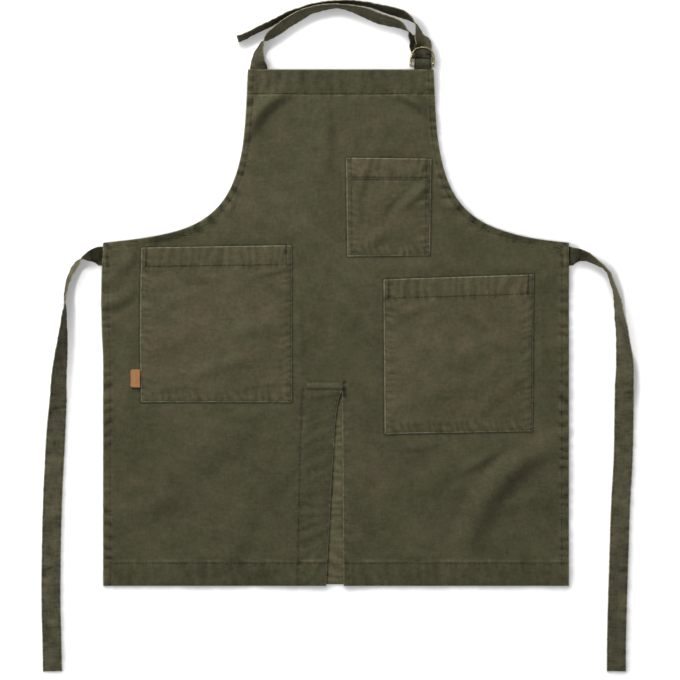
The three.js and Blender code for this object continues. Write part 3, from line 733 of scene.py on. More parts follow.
def add_mesh(name: str, points: Array, *faces: Array, loops: dict[str, Array] | None = None,
             values: dict[str, Array] | None = None) -> Piece:
    """Make a mesh object.

    Args:
        name: its name.
        points: its points in metres in the row frame.
        faces: blocks of faces, those of one block with the same number of corners.
        loops: a UV map's two values at each point, by the map's name.
        values: an attribute's value at each point, by the attribute's name.

    Returns:
        The object, at the origin, in the scene.
    """
    mesh = bpy.data.meshes.new(name)
    index = np.concatenate([block.ravel() for block in faces]).astype(np.int32)
    corners = np.concatenate([np.full(len(block), block.shape[1]) for block in faces])
    mesh.vertices.add(len(points))
    mesh.vertices.foreach_set("co", points.astype(np.float32).ravel())
    mesh.loops.add(len(index))
    mesh.loops.foreach_set("vertex_index", index)
    mesh.polygons.add(len(corners))
    mesh.polygons.foreach_set("loop_start", (np.cumsum(corners) - corners).astype(np.int32))
    mesh.update(calc_edges=True)
    for key, pairs in (loops or {}).items():
        mesh.uv_layers.new(name=key).uv.foreach_set("vector", pairs[index].astype(np.float32).ravel())
    for key, numbers in (values or {}).items():
        mesh.attributes.new(key, "FLOAT", "POINT").data.foreach_set("value", numbers.astype(np.float32))
    mesh.polygons.foreach_set("use_smooth", np.ones(len(corners), dtype=bool))
    mesh.validate()
    piece = bpy.data.objects.new(name, mesh)
    bpy.context.scene.collection.objects.link(piece)
    return piece


def add_cloth(name: str, surface: Surface) -> Piece:
    """Make a piece of cloth.

    Args:
        name: its name.
        surface: its surface in millimetres.

    Returns:
        The piece, with the maps and attributes that its finish reads.
    """
    patch = np.full(len(surface.points), surface.no_patch) if surface.patch is None else surface.patch
    faces = [surface.quads] if surface.tips is None else [surface.quads, surface.tips]
    # The crest carries painted light and shade with the wash-wear of raised pleats, and the patch distance a
    # painted shadow.
    return add_mesh(name, PLACEMENT(surface.points), *faces,
                    loops={"Cloth": surface.cloth * MM, "Seam": surface.seam * MM},
                    values={"Rim": surface.rim * MM, "Crest": surface.crest, "Patch": patch * MM})


class Graph:
    """A material's or a group's node tree, filled one node at a time."""

    def __init__(self, tree: bpy.types.NodeTree) -> None:
        """Take hold of a tree."""
        self.tree = tree

    @staticmethod
    def of_material(name: str) -> tuple[Material, Graph, Node]:
        """Start a material.

        Args:
            name: its name.

        Returns:
            The material, its graph and its Principled shader.
        """
        material = bpy.data.materials.new(name)
        material.use_nodes = True
        return material, Graph(material.node_tree), material.node_tree.nodes["Principled BSDF"]

    def link(self, value: Socket, target: Socket) -> None:
        """Link an output to an input."""
        self.tree.links.new(value, target)

    def node(self, kind: str, inputs: dict[str | int, object] | None = None, **settings: object) -> Node:
        """Add a node.

        Args:
            kind: the node's type, without its prefix.
            inputs: a socket to link or a value to set, by the input's name or number.
            settings: the node's own settings.

        Returns:
            The node.
        """
        made = self.tree.nodes.new(kind if kind.startswith("Node") else "ShaderNode" + kind)
        for key, value in settings.items():
            setattr(made, key, value)
        for key, value in (inputs or {}).items():
            if isinstance(value, Socket):
                self.link(value, made.inputs[key])
            else:
                made.inputs[key].default_value = value
        return made

    def math(self, operation: str, *values: object, clamp: bool = False) -> Socket:
        """Add a Math node for one to three values and return what it puts out."""
        return self.node("Math", dict(enumerate(values)), operation=operation, use_clamp=clamp).outputs[0]

    def times(self, first: object, second: object) -> Socket:
        """The product of two values."""
        return self.math("MULTIPLY", first, second)

    def added(self, value: object, weight: object, base: object) -> Socket:
        """The base plus the value times the weight."""
        return self.math("MULTIPLY_ADD", value, weight, base)

    def ramp(self, value: object, low: float, high: float, from_level: float = 0.0,
             to_level: float = 1.0) -> Socket:
        """Add a smooth Map Range node and return what it puts out."""
        levels = {"Value": value, "From Min": low, "From Max": high, "To Min": from_level, "To Max": to_level}
        return self.node("MapRange", levels, interpolation_type="SMOOTHSTEP").outputs["Result"]

    def noise(self, vector: Socket, scale: float, detail: float = 2.0, roughness: float = 0.5) -> Socket:
        """Add a Noise Texture and return its value."""
        return self.node("TexNoise", {"Vector": vector, "Scale": scale, "Detail": detail,
                                      "Roughness": roughness}).outputs["Fac"]

    def stretch(self, vector: Socket, scale: tuple[float, float, float]) -> Socket:
        """Add a Mapping node that scales a vector, and return it."""
        return self.node("Mapping", {"Vector": vector, "Scale": scale}).outputs["Vector"]

    def attribute(self, name: str) -> Socket:
        """Read a value that the mesh holds at its points."""
        return self.node("Attribute", attribute_name=name).outputs["Fac"]

    def grey(self, value: Socket) -> Socket:
        """The grey with a value in its three channels."""
        return self.node("CombineColor", {0: value, 1: value, 2: value}).outputs[0]

    def mixed(self, share: object, first: object, second: object, blend: str = "MIX") -> Socket:
        """Mix two colours, each a socket or three numbers.

        Args:
            share: how much of the second.
            first: the first colour.
            second: the second colour.
            blend: how they are blended.

        Returns:
            The mixed colour.
        """
        pair = [color if isinstance(color, Socket) else (*color, 1.0) for color in (first, second)]
        made = self.node("Mix", {0: share, 6: pair[0], 7: pair[1]}, data_type="RGBA", blend_type=blend)
        return made.outputs[2]

    def bump(self, shader: Node, height: Socket, strength: float, distance: float) -> None:
        """Feed a shader's normal from a height through a Bump node."""
        made = self.node("Bump", {"Strength": strength, "Distance": distance, "Height": height})
        self.link(made.outputs["Normal"], shader.inputs["Normal"])


def new_group(name: str, inputs: dict[str, float | None],
              outputs: tuple[str, ...]) -> tuple[Graph, Node, Node]:
    """Start a shader node group.

    Args:
        name: its name.
        inputs: each input's default value, or None for a vector, by its name.
        outputs: the names of the values that it puts out.

    Returns:
        Its graph, its input node and its output node.
    """
    tree = bpy.data.node_groups.new(name, "ShaderNodeTree")
    for key, value in inputs.items():
        kind = "NodeSocketVector" if value is None else "NodeSocketFloat"
        made = tree.interface.new_socket(key, in_out="INPUT", socket_type=kind)
        if value is not None:
            made.default_value = value
    for key in outputs:
        tree.interface.new_socket(key, in_out="OUTPUT", socket_type="NodeSocketFloat")
    graph = Graph(tree)
    return graph, graph.node("NodeGroupInput"), graph.node("NodeGroupOutput")


class Effects:
    """The effects that several finishes share, each a node group that is built once."""

    def __init__(self) -> None:
        """Build the groups."""
        self.wash, self.weave = self._wash(), self._weave()
        self.seam, self.wear = self._seam(), self._wear()

    @staticmethod
    def _wash() -> bpy.types.NodeTree:
        """Uneven washed colour.

        Returns:
            A group that puts out one plus the weighted sum of clouds, blotches, streaks and a fine grain, and
            where the colour is warmer.
        """
        graph, start, end = new_group("washed_tone", {
            "Vector": None, "Cloud": 0.1, "Blotch": 0.1, "Mottle": 0.1, "Grain": 0.1, "Streak": 0.1},
            ("Tone", "Warm"))
        place = start.outputs["Vector"]
        tone: Socket | float = 1.0
        streaks = [graph.stretch(place, scale) for scale in ((1.0, 0.09, 1.0), (0.09, 1.0, 1.0))]
        layers = (
            ("Cloud", graph.noise(place, 11.0, 2.0)),
            ("Blotch", graph.noise(place, 48.0, 3.0, 0.6)),
            ("Mottle", graph.noise(place, 170.0, 2.0, 0.6)),
            ("Grain", graph.noise(place, 520.0, 2.0, 0.7)),
            ("Streak", graph.noise(streaks[0], 520.0, 2.0, 0.6)),
            ("Streak", graph.noise(streaks[1], 520.0, 2.0, 0.6)),
        )
        for key, value in layers:
            tone = graph.added(graph.math("SUBTRACT", value, 0.5), start.outputs[key], tone)
        graph.link(tone, end.inputs["Tone"])
        aside = graph.node("VectorMath", {0: place, 1: (3.1, 7.7, 0.0)}, operation="ADD").outputs[0]
        broad = graph.ramp(graph.noise(aside, 9.0, 2.0), 0.34, 0.66)
        patchy = graph.ramp(graph.noise(aside, 34.0, 3.0, 0.6), 0.36, 0.66)
        graph.link(graph.added(patchy, 0.55, graph.times(broad, 0.45)), end.inputs["Warm"])
        return graph.tree

    @staticmethod
    def _weave() -> bpy.types.NodeTree:
        """A plain weave.

        Returns:
            A group that puts out the height of two crossed rows of threads that pass over and under each
            other: the product of two sines, and their sizes, with a noise along the threads.
        """
        graph, start, end = new_group("plain_weave", {"Vector": None, "Pitch": 0.0011}, ("Height",))
        place = start.outputs["Vector"]
        split = graph.node("SeparateXYZ", {"Vector": place})
        turn = graph.math("DIVIDE", math.pi, start.outputs["Pitch"])
        warp, weft = (graph.math("SINE", graph.times(split.outputs[axis], turn)) for axis in "XY")
        rows = graph.math("ADD", graph.math("ABSOLUTE", warp), graph.math("ABSOLUTE", weft))
        slub = graph.noise(graph.stretch(place, (1.0, 0.06, 1.0)), 700.0, 1.0)
        height = graph.added(graph.times(warp, weft), 0.5, graph.times(rows, 0.35))
        graph.link(graph.added(slub, 0.7, height), end.inputs["Height"])
        return graph.tree

    @staticmethod
    def _seam() -> bpy.types.NodeTree:
        """The groove that a row of stitches draws into cloth.

        Returns:
            A group that puts out the groove's height, deeper at each stitch's end, where it lies, and the
            wrinkles that the row pulls in beside it.
        """
        graph, start, end = new_group("seam_groove", {"Vector": None, "Breadth": 0.0016, "Stitch": 0.0032},
                                      ("Height", "Mask", "Pull"))
        split = graph.node("SeparateXYZ", {"Vector": start.outputs["Vector"]})
        run, gap = split.outputs["X"], graph.math("ABSOLUTE", split.outputs["Y"])
        mask = graph.ramp(graph.math("DIVIDE", gap, start.outputs["Breadth"]), 0.0, 1.0, 1.0, 0.0)
        turn = graph.math("DIVIDE", graph.times(run, 2 * math.pi), start.outputs["Stitch"])
        beat = graph.math("SINE", turn)
        deep = graph.times(mask, graph.added(beat, 0.25, 0.75))
        graph.link(graph.times(deep, -1.0), end.inputs["Height"])
        graph.link(mask, end.inputs["Mask"])
        near = graph.ramp(gap, 0.0, 0.011, 1.0, 0.0)
        across = graph.node("CombineXYZ", {"X": run, "Y": graph.times(gap, 0.35)})
        pull = graph.math("SUBTRACT", graph.noise(across.outputs[0], 190.0, 2.0, 0.6), 0.5)
        graph.link(graph.times(pull, near), end.inputs["Pull"])
        return graph.tree

    @staticmethod
    def _wear() -> bpy.types.NodeTree:
        """Where an edge or a raised pleat has lost its dye, and where light and shade are painted.

        Returns:
            A group that puts out 1 at a worn edge, and the crest broken up by a noise: painted light and
            shade, with the wash-wear of raised pleats.
        """
        graph, start, end = new_group(
            "edge_wear", {"Vector": None, "Rim": 1.0, "Crest": 0.0, "Breadth": 0.002}, ("Mask", "Relief"))
        uneven = graph.noise(start.outputs["Vector"], 160.0, 3.0, 0.6)
        share = graph.math("DIVIDE", start.outputs["Rim"], start.outputs["Breadth"])
        worn = graph.times(graph.ramp(share, 0.0, 1.0, 1.0, 0.0), graph.ramp(uneven, 0.34, 0.62, 0.35, 1.0))
        graph.link(worn, end.inputs["Mask"])
        # The crest's painted light and shade, with the wash-wear of raised pleats, broken up by a noise.
        relief = graph.times(start.outputs["Crest"], graph.ramp(uneven, 0.3, 0.6, 0.6, 1.0))
        graph.link(relief, end.inputs["Relief"])
        return graph.tree


@dataclass(frozen=True)
class CanvasFinish:
    """Washed canvas: its dyed and its faded colour, how uneven it is and how its seams show."""

    name: str
    color: Color
    warm: Color
    faded: Color
    cloud: float = 0.50
    blotch: float = 0.60
    mottle: float = 0.54
    grain: float = 0.50
    streak: float = 0.32
    wear: float = 0.55
    # relief: how much the crest's painted light and shade, with the wash-wear of raised pleats, change the
    # colour.
    relief: float = 0.27
    seam_dark: float = 0.46
    # How dark the painted shadow beside a sewn-on patch is.
    patch_dark: float = 0.42
    wear_breadth: float = 0.0022
    weave_pitch: float = 0.0011

    def build(self, effects: Effects) -> Material:
        """Make the material.

        Args:
            effects: the shared node groups.

        Returns:
            A rough dyed cloth. Its colour is the dyed one times the washed tone, with painted light and shade
            from the crest and the seams' wrinkles, faded at worn edges, darkened in seams and by a painted
            shadow beside sewn-on patches, and its bump adds weave, small wrinkles and the seams' grooves.
        """
        material, graph, shader = Graph.of_material(self.name)
        cloth, seam = (graph.node("UVMap", uv_map=key).outputs["UV"] for key in ("Cloth", "Seam"))
        tone, weave, groove, wear = (
            graph.node("Group", {"Vector": vector}, node_tree=tree) for tree, vector in (
                (effects.wash, cloth), (effects.weave, cloth), (effects.seam, seam), (effects.wear, cloth)))
        for key in ("Cloud", "Blotch", "Mottle", "Grain", "Streak"):
            tone.inputs[key].default_value = getattr(self, key.lower())
        weave.inputs["Pitch"].default_value = self.weave_pitch
        wear.inputs["Breadth"].default_value = self.wear_breadth
        for key in ("Rim", "Crest"):
            graph.link(graph.attribute(key), wear.inputs[key])

        # Painted light and shade from the crest, with the wash-wear of raised pleats.
        value = graph.added(wear.outputs["Relief"], self.relief, tone.outputs["Tone"])
        # Painted light and shade of the wrinkles that the seams pull in.
        value = graph.math("ADD", groove.outputs["Pull"], value)
        value = graph.added(groove.outputs["Mask"], -self.seam_dark, value)
        # Painted shadow beside a patch that is sewn on.
        beside_patch = graph.ramp(graph.attribute("Patch"), 0.0004, 0.0042, 1.0, 0.0)
        value = graph.added(beside_patch, -self.patch_dark, value)
        hue = graph.mixed(tone.outputs["Warm"], self.color, self.warm)
        worn = graph.math("MULTIPLY", wear.outputs["Mask"], self.wear, clamp=True)
        dyed = graph.mixed(worn, hue, self.faded)
        graph.link(graph.mixed(1.0, dyed, graph.grey(value), "MULTIPLY"), shader.inputs["Base Color"])

        height = graph.times(weave.outputs["Height"], 0.10)
        height = graph.added(graph.noise(cloth, 90.0, 4.0, 0.62), 1.1, height)
        height = graph.added(graph.noise(cloth, 700.0, 2.0, 0.7), 0.16, height)
        height = graph.added(groove.outputs["Height"], 0.45, height)
        graph.bump(shader, graph.added(groove.outputs["Pull"], 1.5, height), 0.55, 0.001)
        graph.link(graph.ramp(tone.outputs["Tone"], 0.8, 1.2, 0.97, 0.86), shader.inputs["Roughness"])
        shader.inputs["Specular IOR Level"].default_value = 0.12
        shader.inputs["Sheen Weight"].default_value = 0.02
        shader.inputs["Sheen Roughness"].default_value = 0.5
        shader.inputs["Sheen Tint"].default_value = (0.7, 0.66, 0.48, 1.0)
        return material


@dataclass(frozen=True)
class ThreadFinish:
    """Twisted sewing thread."""

    name: str
    color: Color
    light: Color

    def build(self) -> Material:
        """Make the material.

        Returns:
            A matt thread whose colour wavers from stitch to stitch, and whose bump is the twist.
        """
        material, graph, shader = Graph.of_material(self.name)
        place = graph.node("TexCoord").outputs["Object"]
        patches = graph.noise(place, 70.0, 3.0, 0.6)
        colored = graph.mixed(graph.ramp(patches, 0.35, 0.65), self.color, self.light)
        graph.link(colored, shader.inputs["Base Color"])
        twist = graph.node("TexWave", {"Vector": place, "Scale": 900.0, "Distortion": 1.0},
                           bands_direction="DIAGONAL")
        graph.bump(shader, twist.outputs["Fac"], 0.4, 0.0002)
        graph.link(graph.ramp(patches, 0.3, 0.7, 0.62, 0.78), shader.inputs["Roughness"])
        return material


@dataclass(frozen=True)
class LeatherFinish:
    """Smooth tan leather with burnished edges."""

    name: str
    color: Color
    edge: Color

    def build(self) -> Material:
        """Make the material.

        Returns:
            A leather with grain cells in the bump and a cloudy colour, darker where the rim is near.
        """
        material, graph, shader = Graph.of_material(self.name)
        place = graph.node("TexCoord").outputs["Object"]
        cloud = graph.noise(place, 260.0, 4.0, 0.6)
        pores = graph.node("TexVoronoi", {"Vector": place, "Scale": 1500.0}, feature="DISTANCE_TO_EDGE")
        dark = graph.ramp(graph.added(cloud, 0.0008, graph.attribute("Rim")), 0.0005, 0.0022, 1.0, 0.0)
        grey = graph.grey(graph.ramp(cloud, 0.25, 0.75, 0.82, 1.14))
        graph.link(graph.mixed(1.0, graph.mixed(dark, self.color, self.edge), grey, "MULTIPLY"),
                   shader.inputs["Base Color"])
        height = graph.added(graph.ramp(pores.outputs["Distance"], 0.0, 0.12), 0.5, cloud)
        graph.bump(shader, height, 0.5, 0.0003)
        graph.link(graph.ramp(cloud, 0.3, 0.7, 0.5, 0.66), shader.inputs["Roughness"])
        return material


@dataclass(frozen=True)
class BrassFinish:
    """Antique brass wire, dark where it isn't rubbed."""

    name: str
    color: Color
    tarnish: Color

    def build(self) -> Material:
        """Make the material.

        Returns:
            A metal whose tarnish and roughness follow a patchy noise.
        """
        material, graph, shader = Graph.of_material(self.name)
        place = graph.node("TexCoord").outputs["Object"]
        patches = graph.noise(place, 220.0, 4.0, 0.6)
        tarnished = graph.mixed(graph.ramp(patches, 0.42, 0.7), self.color, self.tarnish)
        graph.link(tarnished, shader.inputs["Base Color"])
        graph.link(graph.ramp(patches, 0.3, 0.75, 0.26, 0.5), shader.inputs["Roughness"])
        graph.bump(shader, graph.noise(graph.stretch(place, (1.0, 1.0, 4.0)), 1400.0, 2.0), 0.25, 0.0001)
        shader.inputs["Metallic"].default_value = 1.0
        return material


@dataclass(frozen=True)
class FloorFinish:
    """A plain white studio floor that glows a little, as a lit table does, and is clear from beneath."""

    name: str = "studio_white"
    white: float = 0.66
    glow: float = 0.55
    # The painted contact shadow's reach in metres, and the occlusion below which it darkens no further.
    contact: float = 0.017
    darkest: float = 0.80

    def build(self) -> Material:
        """Make the material.

        Returns:
            A matt white whose level wavers a little, and a painted contact shadow where cloth is close by: an
            occlusion factor, sampled towards the upper left, darkens its colour and its glow.
        """
        material, graph, shader = Graph.of_material(self.name)
        place = graph.node("TexCoord").outputs["Object"]
        level = graph.ramp(graph.noise(place, 1.5, 2.0), 0.3, 0.7, self.white - 0.004, self.white)
        aside = graph.node("CombineXYZ", {0: -0.62, 1: 0.5, 2: 0.6})
        near = graph.node("AmbientOcclusion", {"Distance": self.contact, "Normal": aside.outputs[0]})
        open_air = graph.math("POWER", graph.math("MAXIMUM", near.outputs["AO"], self.darkest), 3.0)
        graph.link(graph.grey(graph.times(level, open_air)), shader.inputs["Base Color"])
        graph.link(graph.grey(open_air), shader.inputs["Emission Color"])
        shader.inputs["Emission Strength"].default_value = self.glow
        shader.inputs["Roughness"].default_value = 0.9
        shader.inputs["Specular IOR Level"].default_value = 0.1
        behind = graph.node("NewGeometry").outputs["Backfacing"]
        clear = graph.node("BsdfTransparent").outputs[0]
        seen = graph.node("MixShader", {0: behind, 1: shader.outputs[0], 2: clear})
        graph.link(seen.outputs[0], material.node_tree.nodes["Material Output"].inputs["Surface"])
        return material


@dataclass
class Gaps:
    """Places in the plan and how far inside the body's edges they lie, with the side hem's width there."""

    x: Array
    y: Array
    side: Array
    side_run: Array
    top: Array
    foot: Array
    flap: Array
    left_flap: Array
    right_flap: Array
    hem: Array

    @property
    def edge(self) -> Array:
        """The distance from the nearest of the sides, the bib's top and the skirt's foot."""
        return np.minimum(self.side, np.minimum(self.top, self.foot))


@dataclass
class BodyPanel:
    """The body in one sheet: bib, skirt, turned hems, the vent and the folds that it lies in."""

    sizes: Sizes = SIZES
    row_pitch: float = 3.7
    hem_columns: int = 7
    field_columns: int = 72
    facing_columns: int = 13
    fold_height: float = 0.8
    relief: float = 1.35
    waves: Waves = field(default_factory=lambda: Waves(11))
    fine: Waves = field(default_factory=lambda: Waves(23))

    def edge_rows(self) -> tuple[Array, Array, Array, Array]:
        """The side edge, row by row from the bib's top to the skirt's foot.

        Returns:
            Half widths, heights at the edge, heights at the middle and shifts of the middle. The bib
            widens evenly, the armhole is a cubic curve, and the skirt's left side bows by a half sine.
        """
        s = self.sizes
        marks = [s.bib_rise, s.bib_rise - s.bib_hem + s.hem_step, s.bib_rise - s.bib_hem]
        plain = np.arange(s.armhole_rise, s.bib_rise, self.row_pitch)[1:]
        bib = np.unique(np.concatenate([plain, marks]))[::-1]
        bib_half = s.bib_top_width / 2 + s.bib_spread * (s.bib_rise - bib) / (s.bib_rise - s.armhole_rise)
        curve = evenly(self.armhole(np.linspace(0, 1, 400)), 1.12 * self.row_pitch)
        foot = s.skirt_hem - s.skirt_drop
        marks = [-s.skirt_drop, foot + 1.8, foot, foot - s.hem_step]
        count = int(s.skirt_drop / self.row_pitch)
        below = -np.arange(1, count) * s.skirt_drop / count
        tip_row = np.abs(below - s.tip).argmin()
        below[tip_row] = s.tip
        below[tip_row - 1], below[tip_row - 3] = s.tip + TACK_LOW, s.tip + TACK_HIGH
        skirt = np.unique(np.concatenate([below, marks]))[::-1]
        skirt = skirt[np.concatenate([[True], -np.diff(skirt) > 0.6])]
        skirt[-1] = -s.skirt_drop
        bow = s.side_bow * np.sin(math.pi * np.minimum(1.0, -skirt / (s.skirt_drop / 3)))
        half = np.concatenate([bib_half, curve[:, 0], s.half_waist + 0.5 * bow])
        edge_y = np.concatenate([bib, curve[:, 1], skirt])
        middle_y = np.concatenate([bib, np.linspace(s.armhole_rise, 0.0, len(curve)), skirt])
        shift = np.concatenate([s.bib_shift * smooth(edge_y[:-len(skirt)], 0, 2 * s.armhole_hem), -0.5 * bow])
        return half, edge_y, middle_y, shift

    def armhole(self, share: Array) -> Array:
        """The right armhole.

        Args:
            share: shares of the way along it, from the bib down.

        Returns:
            Places across and along on a cubic curve, as its four corners times their shares' cubic weights.
        """
        s = self.sizes
        top = s.bib_top_width / 2 + s.bib_spread
        span = s.half_waist - top
        corners = np.array([(top, s.armhole_rise), (top + 0.04 * span, 0.2 * s.armhole_rise),
                            (top + 0.29 * span, 0.07 * s.armhole_rise), (s.half_waist, 0.0)])
        share = share[:, None]
        weights = np.hstack([(1 - share) ** 3, 3 * share * (1 - share) ** 2, 3 * share ** 2 * (1 - share),
                             share ** 3])
        return weights @ corners

    def vent_edges(self, y: Array) -> tuple[Array, Array]:
        """The edges of the vent's two flaps.

        Args:
            y: heights.

        Returns:
            Places across of the left and the right edge: they part below the tip, first fast and then evenly,
            and are one line above it.
        """
        s = self.sizes
        share = np.clip((s.tip - y) / s.vent_rise, 0.0, 1.0)
        opening = 0.35 * (1 - np.exp(-share / 0.06)) + 0.65 * share
        above = smooth(y, s.tip, s.bib_rise)
        middle = s.vent_place + (s.bib_shift - s.vent_place) * above
        return middle - s.vent_flare * opening, middle + s.vent_lean * share

    def side_paths(self) -> list[Array]:
        """The two side edges from the bib's top to the skirt's foot."""
        half, y, _, shift = self.edge_rows()
        return [rows_of(shift - half, y), rows_of(shift + half, y)]

    def seam_paths(self) -> list[Array]:
        """The rows of stitches: armholes, sides, top and bottom hem, vent facing and its bar tacks.

        Returns:
            Paths in the plan, the three pale stitches at the vent's tip last.
        """
        s = self.sizes
        left, right = self.side_paths()
        corner = int(np.argmin(np.abs(left[:, 1])))
        paths = []
        for path, inward in ((left, 1), (right, -1)):
            paths += [beside(path[:corner + 1], inward * (s.armhole_hem - ARM_ROW)),
                      beside(path[corner:], inward * (s.side_hem - SIDE_ROW))]
        half_bib, half = s.bib_top_width / 2 + 1, s.half_waist
        hem_y, foot_y = s.bib_rise - s.bib_hem + BIB_ROW, s.skirt_hem - s.skirt_drop - FOOT_ROW
        left_flap, right_flap = self.vent_edges(np.array([foot_y]))
        flap_y = np.linspace(s.tip - 8, -s.skirt_drop, 60)
        flaps = self.vent_edges(flap_y)
        paths += [np.array(ends) for ends in (
            [(s.bib_shift - half_bib, hem_y), (s.bib_shift + half_bib, hem_y)],
            [(-half, foot_y), (left_flap[0], foot_y)], [(right_flap[0], foot_y), (half, foot_y)],
            FACING_LINE[::-1].T,
            [(TACK_LEFT, s.tip + TACK_HIGH), (TACK_RIGHT, s.tip + TACK_HIGH)],
            [(TACK_LEFT, s.tip + TACK_LOW), (TACK_RIGHT, s.tip + TACK_LOW)], *ROOT_ROWS,
            rows_of(flaps[0] - FLAP_ROW, flap_y), rows_of(flaps[1] + FLAP_ROW, flap_y),
            *([(7.2 + 0.06 * low, s.tip + low - 5.0), (8.0 + 0.06 * low, s.tip + low + 2.0)]
              for low in TIP_STITCHES))]
        return [evenly(path, PATH_PITCH) for path in paths]

    def under(self, x: Array, y: Array) -> Array:
        """How far the underside stands off the surface.

        Args:
            x: places across.
            y: places along.

        Returns:
            The highest of the plateaus over what is sewn behind the body, plus the folds, which are
            nothing under the pockets.
        """
        s = self.sizes
        fade, reach = 45.0, 30.0
        over_bib = (2 * s.cloth + 4 * s.seat) * plateau(
            x, y, -s.half_waist, s.half_waist, s.bib_rise - s.sewn_length, s.bib_rise, 2 * fade)
        ties = (s.tape + s.seat) * sum(
            plateau(x, y, *sorted((side.value * (s.half_waist + reach),
                                   side.value * (s.half_waist - s.sewn_length - reach))),
                    -s.tie_root - reach, reach, fade) for side in Side)
        vent = (s.cloth + s.seat) * plateau(
            x, y, s.vent_place - s.vent_flare - s.underlap_width, s.vent_place + s.underlap_seam + reach / 2,
            -s.skirt_drop, s.tip + reach / 2, fade / 2)
        folds = FOLDS * np.array([s.half_waist, s.skirt_drop] * 3
                                 + [s.side_hem, s.side_hem * self.fold_height])
        rolling = 0.9 * self.waves(x / 85.0, y / 70.0) + 0.5 * self.fine(x / 30.0 + 9, y / 26.0)
        folded = self.relief * (creased(x, y, folds) + creased(x, y, CREASES)) + 1.2 * rolling + 1.3
        return (np.maximum(np.maximum(over_bib, ties), vent)
                + np.maximum(0.0, folded * self.free_of_pockets(x, y)))

    def free_of_pockets(self, x: Array, y: Array) -> Array:
        """1 away from the pockets and 0 under them.

        Args:
            x: places across.
            y: places along.

        Returns:
            The product over the pockets of cubic steps just outside their boxes.
        """
        free = np.ones_like(x)
        for pocket in POCKETS:
            middle_x, middle_y = pocket.middle
            across = np.abs(x - middle_x) - pocket.width / 2
            along = np.abs(y - middle_y) - pocket.depth / 2
            free *= smooth(np.maximum(across, along), 2.5, 15.0)
        return free

    def gaps(self, x: Array, y: Array) -> Gaps:
        """How far places in the plan lie from the body's edges.

        Args:
            x: places across.
            y: places along.

        Returns:
            The distances. Beside the vent's flaps there is no other side, so theirs is large elsewhere.
        """
        s = self.sizes
        side, side_run = nearest(rows_of(x, y), [evenly(path, PATH_PITCH) for path in self.side_paths()])
        left, right = self.vent_edges(y)
        flap = np.where(y < s.tip + 1, np.where(x < (left + right) / 2, left - x, x - right), 999.0)
        hem = s.armhole_hem + (s.side_hem - s.armhole_hem) * smooth(-y, -4.0, 4.0)
        return Gaps(x, y, side, side_run, s.bib_rise - y, y + s.skirt_drop, flap, left, right, hem)

    def pleats(self, g: Gaps) -> Array:
        """The pleats that the threads pull into the body's hems.

        Args:
            g: the places and their gaps.

        Returns:
            The sum over sides, bib's top, foot, facing and right flap of puckers that fade out inside each
            hem, from about -1 to 1. The sides' are pinched and reach further in at the armholes' ends.
        """
        below_tip = -g.y + self.sizes.tip
        at_arm = smooth(g.y, 4.0, 20.0) * (1 - smooth(g.y, 50.0, 120.0))
        sides = (pinched(puckers(g.side_run, g.side, 19.5, self.waves, 0.12)) - 0.35) * (
            1 - smooth(g.side, g.hem - 1.0, g.hem + 4.0 + 15.0 * at_arm)) * (1.4 + 0.4 * at_arm)
        top = puckers(g.x, g.top, 21.0, self.fine, 0.1) * (1 - smooth(g.top, 40.0, 54.0)) * 0.4
        foot = puckers(g.x, g.foot, 19.0, self.waves, 0.1) * (1 - smooth(g.foot, 36.0, 48.0)) * 0.3
        facing = (puckers(g.y, g.flap, 19.0, self.fine, 0.5) * (1 - smooth(g.flap, 34.0, 60.0))
                  * (g.x < g.left_flap + 1) * smooth(below_tip, 4, 60)
                  * (0.25 + 0.75 * smooth(g.flap, 0.0, 30.0)) * 0.7)
        right = (puckers(g.y + 7, g.flap, 16.0, self.waves, 0.2) * (1 - smooth(g.flap, 6.0, 22.0))
                 * (g.x > g.right_flap - 1) * smooth(below_tip, 4, 30) * 0.5)
        return sides + top + foot + facing + right

    def marks(self, g: Gaps) -> Array:
        """What shows light, or dark below nothing, where hems end and the cloth is sewn through.

        Args:
            g: the places and their gaps.

        Returns:
            The sum of lines along the bar tack, the ties' boxes, the hems' inner edges and the facing, each a
            bell curve that a noise may break up; the lines at the tack and the ties' boxes are painted
            highlight and shade. To these come painted shadows at the vent's tip and the right tie's box, and
            a painted light falloff that is lighter towards the bib and darker on the lower left of the skirt.
        """
        s, x, y = self.sizes, g.x, g.y
        over_tack = plateau(x, y, TACK_LEFT, TACK_RIGHT, s.tip - 5, s.tip + 20, 1.5)
        over_root = plateau(x, y, -s.half_waist, s.half_waist, -37.0, -2.0, 1.5)
        # Painted highlight and shade along the bar tack.
        marks = over_tack * sum(level * line(y - s.tip - rise, breadth)
                                for level, rise, breadth in TACK_LINES)
        # Painted shadow at the vent's tip.
        marks -= 1.9 * plateau(x, y, *TIP_DENT, s.tip - 9.0, s.tip + 15.0, 2.0)
        # Painted highlight and shade at the ties' boxes.
        marks += over_root * sum(level * line(x - place) for level, place in ROOT_LINES)
        # Painted shadow at the right tie's box.
        marks -= 1.4 * plateau(x, y, *ROOT_DENT, 1.5)
        marks += (line(g.foot - s.skirt_hem - 1.8, 1.3) * (1.7 + 2.2 * self.fine(x / 24.0, y / 20.0))
                  * smooth(g.side, 12.0, 15.0) * smooth(g.flap, 3.0, 6.0))
        marks -= 0.8 * line(g.foot - s.skirt_hem + s.hem_step, 1.2) * smooth(g.side, 8.0, 12.0)
        marks += line(g.top - s.bib_hem, 1.2) * (1.6 + 3.0 * self.fine(x / 11.0, y / 20.0))
        marks -= 0.6 * line(x - np.interp(y, *FACING_LINE), 1.5) * smooth(s.tip - y, 0.0, 6.0)
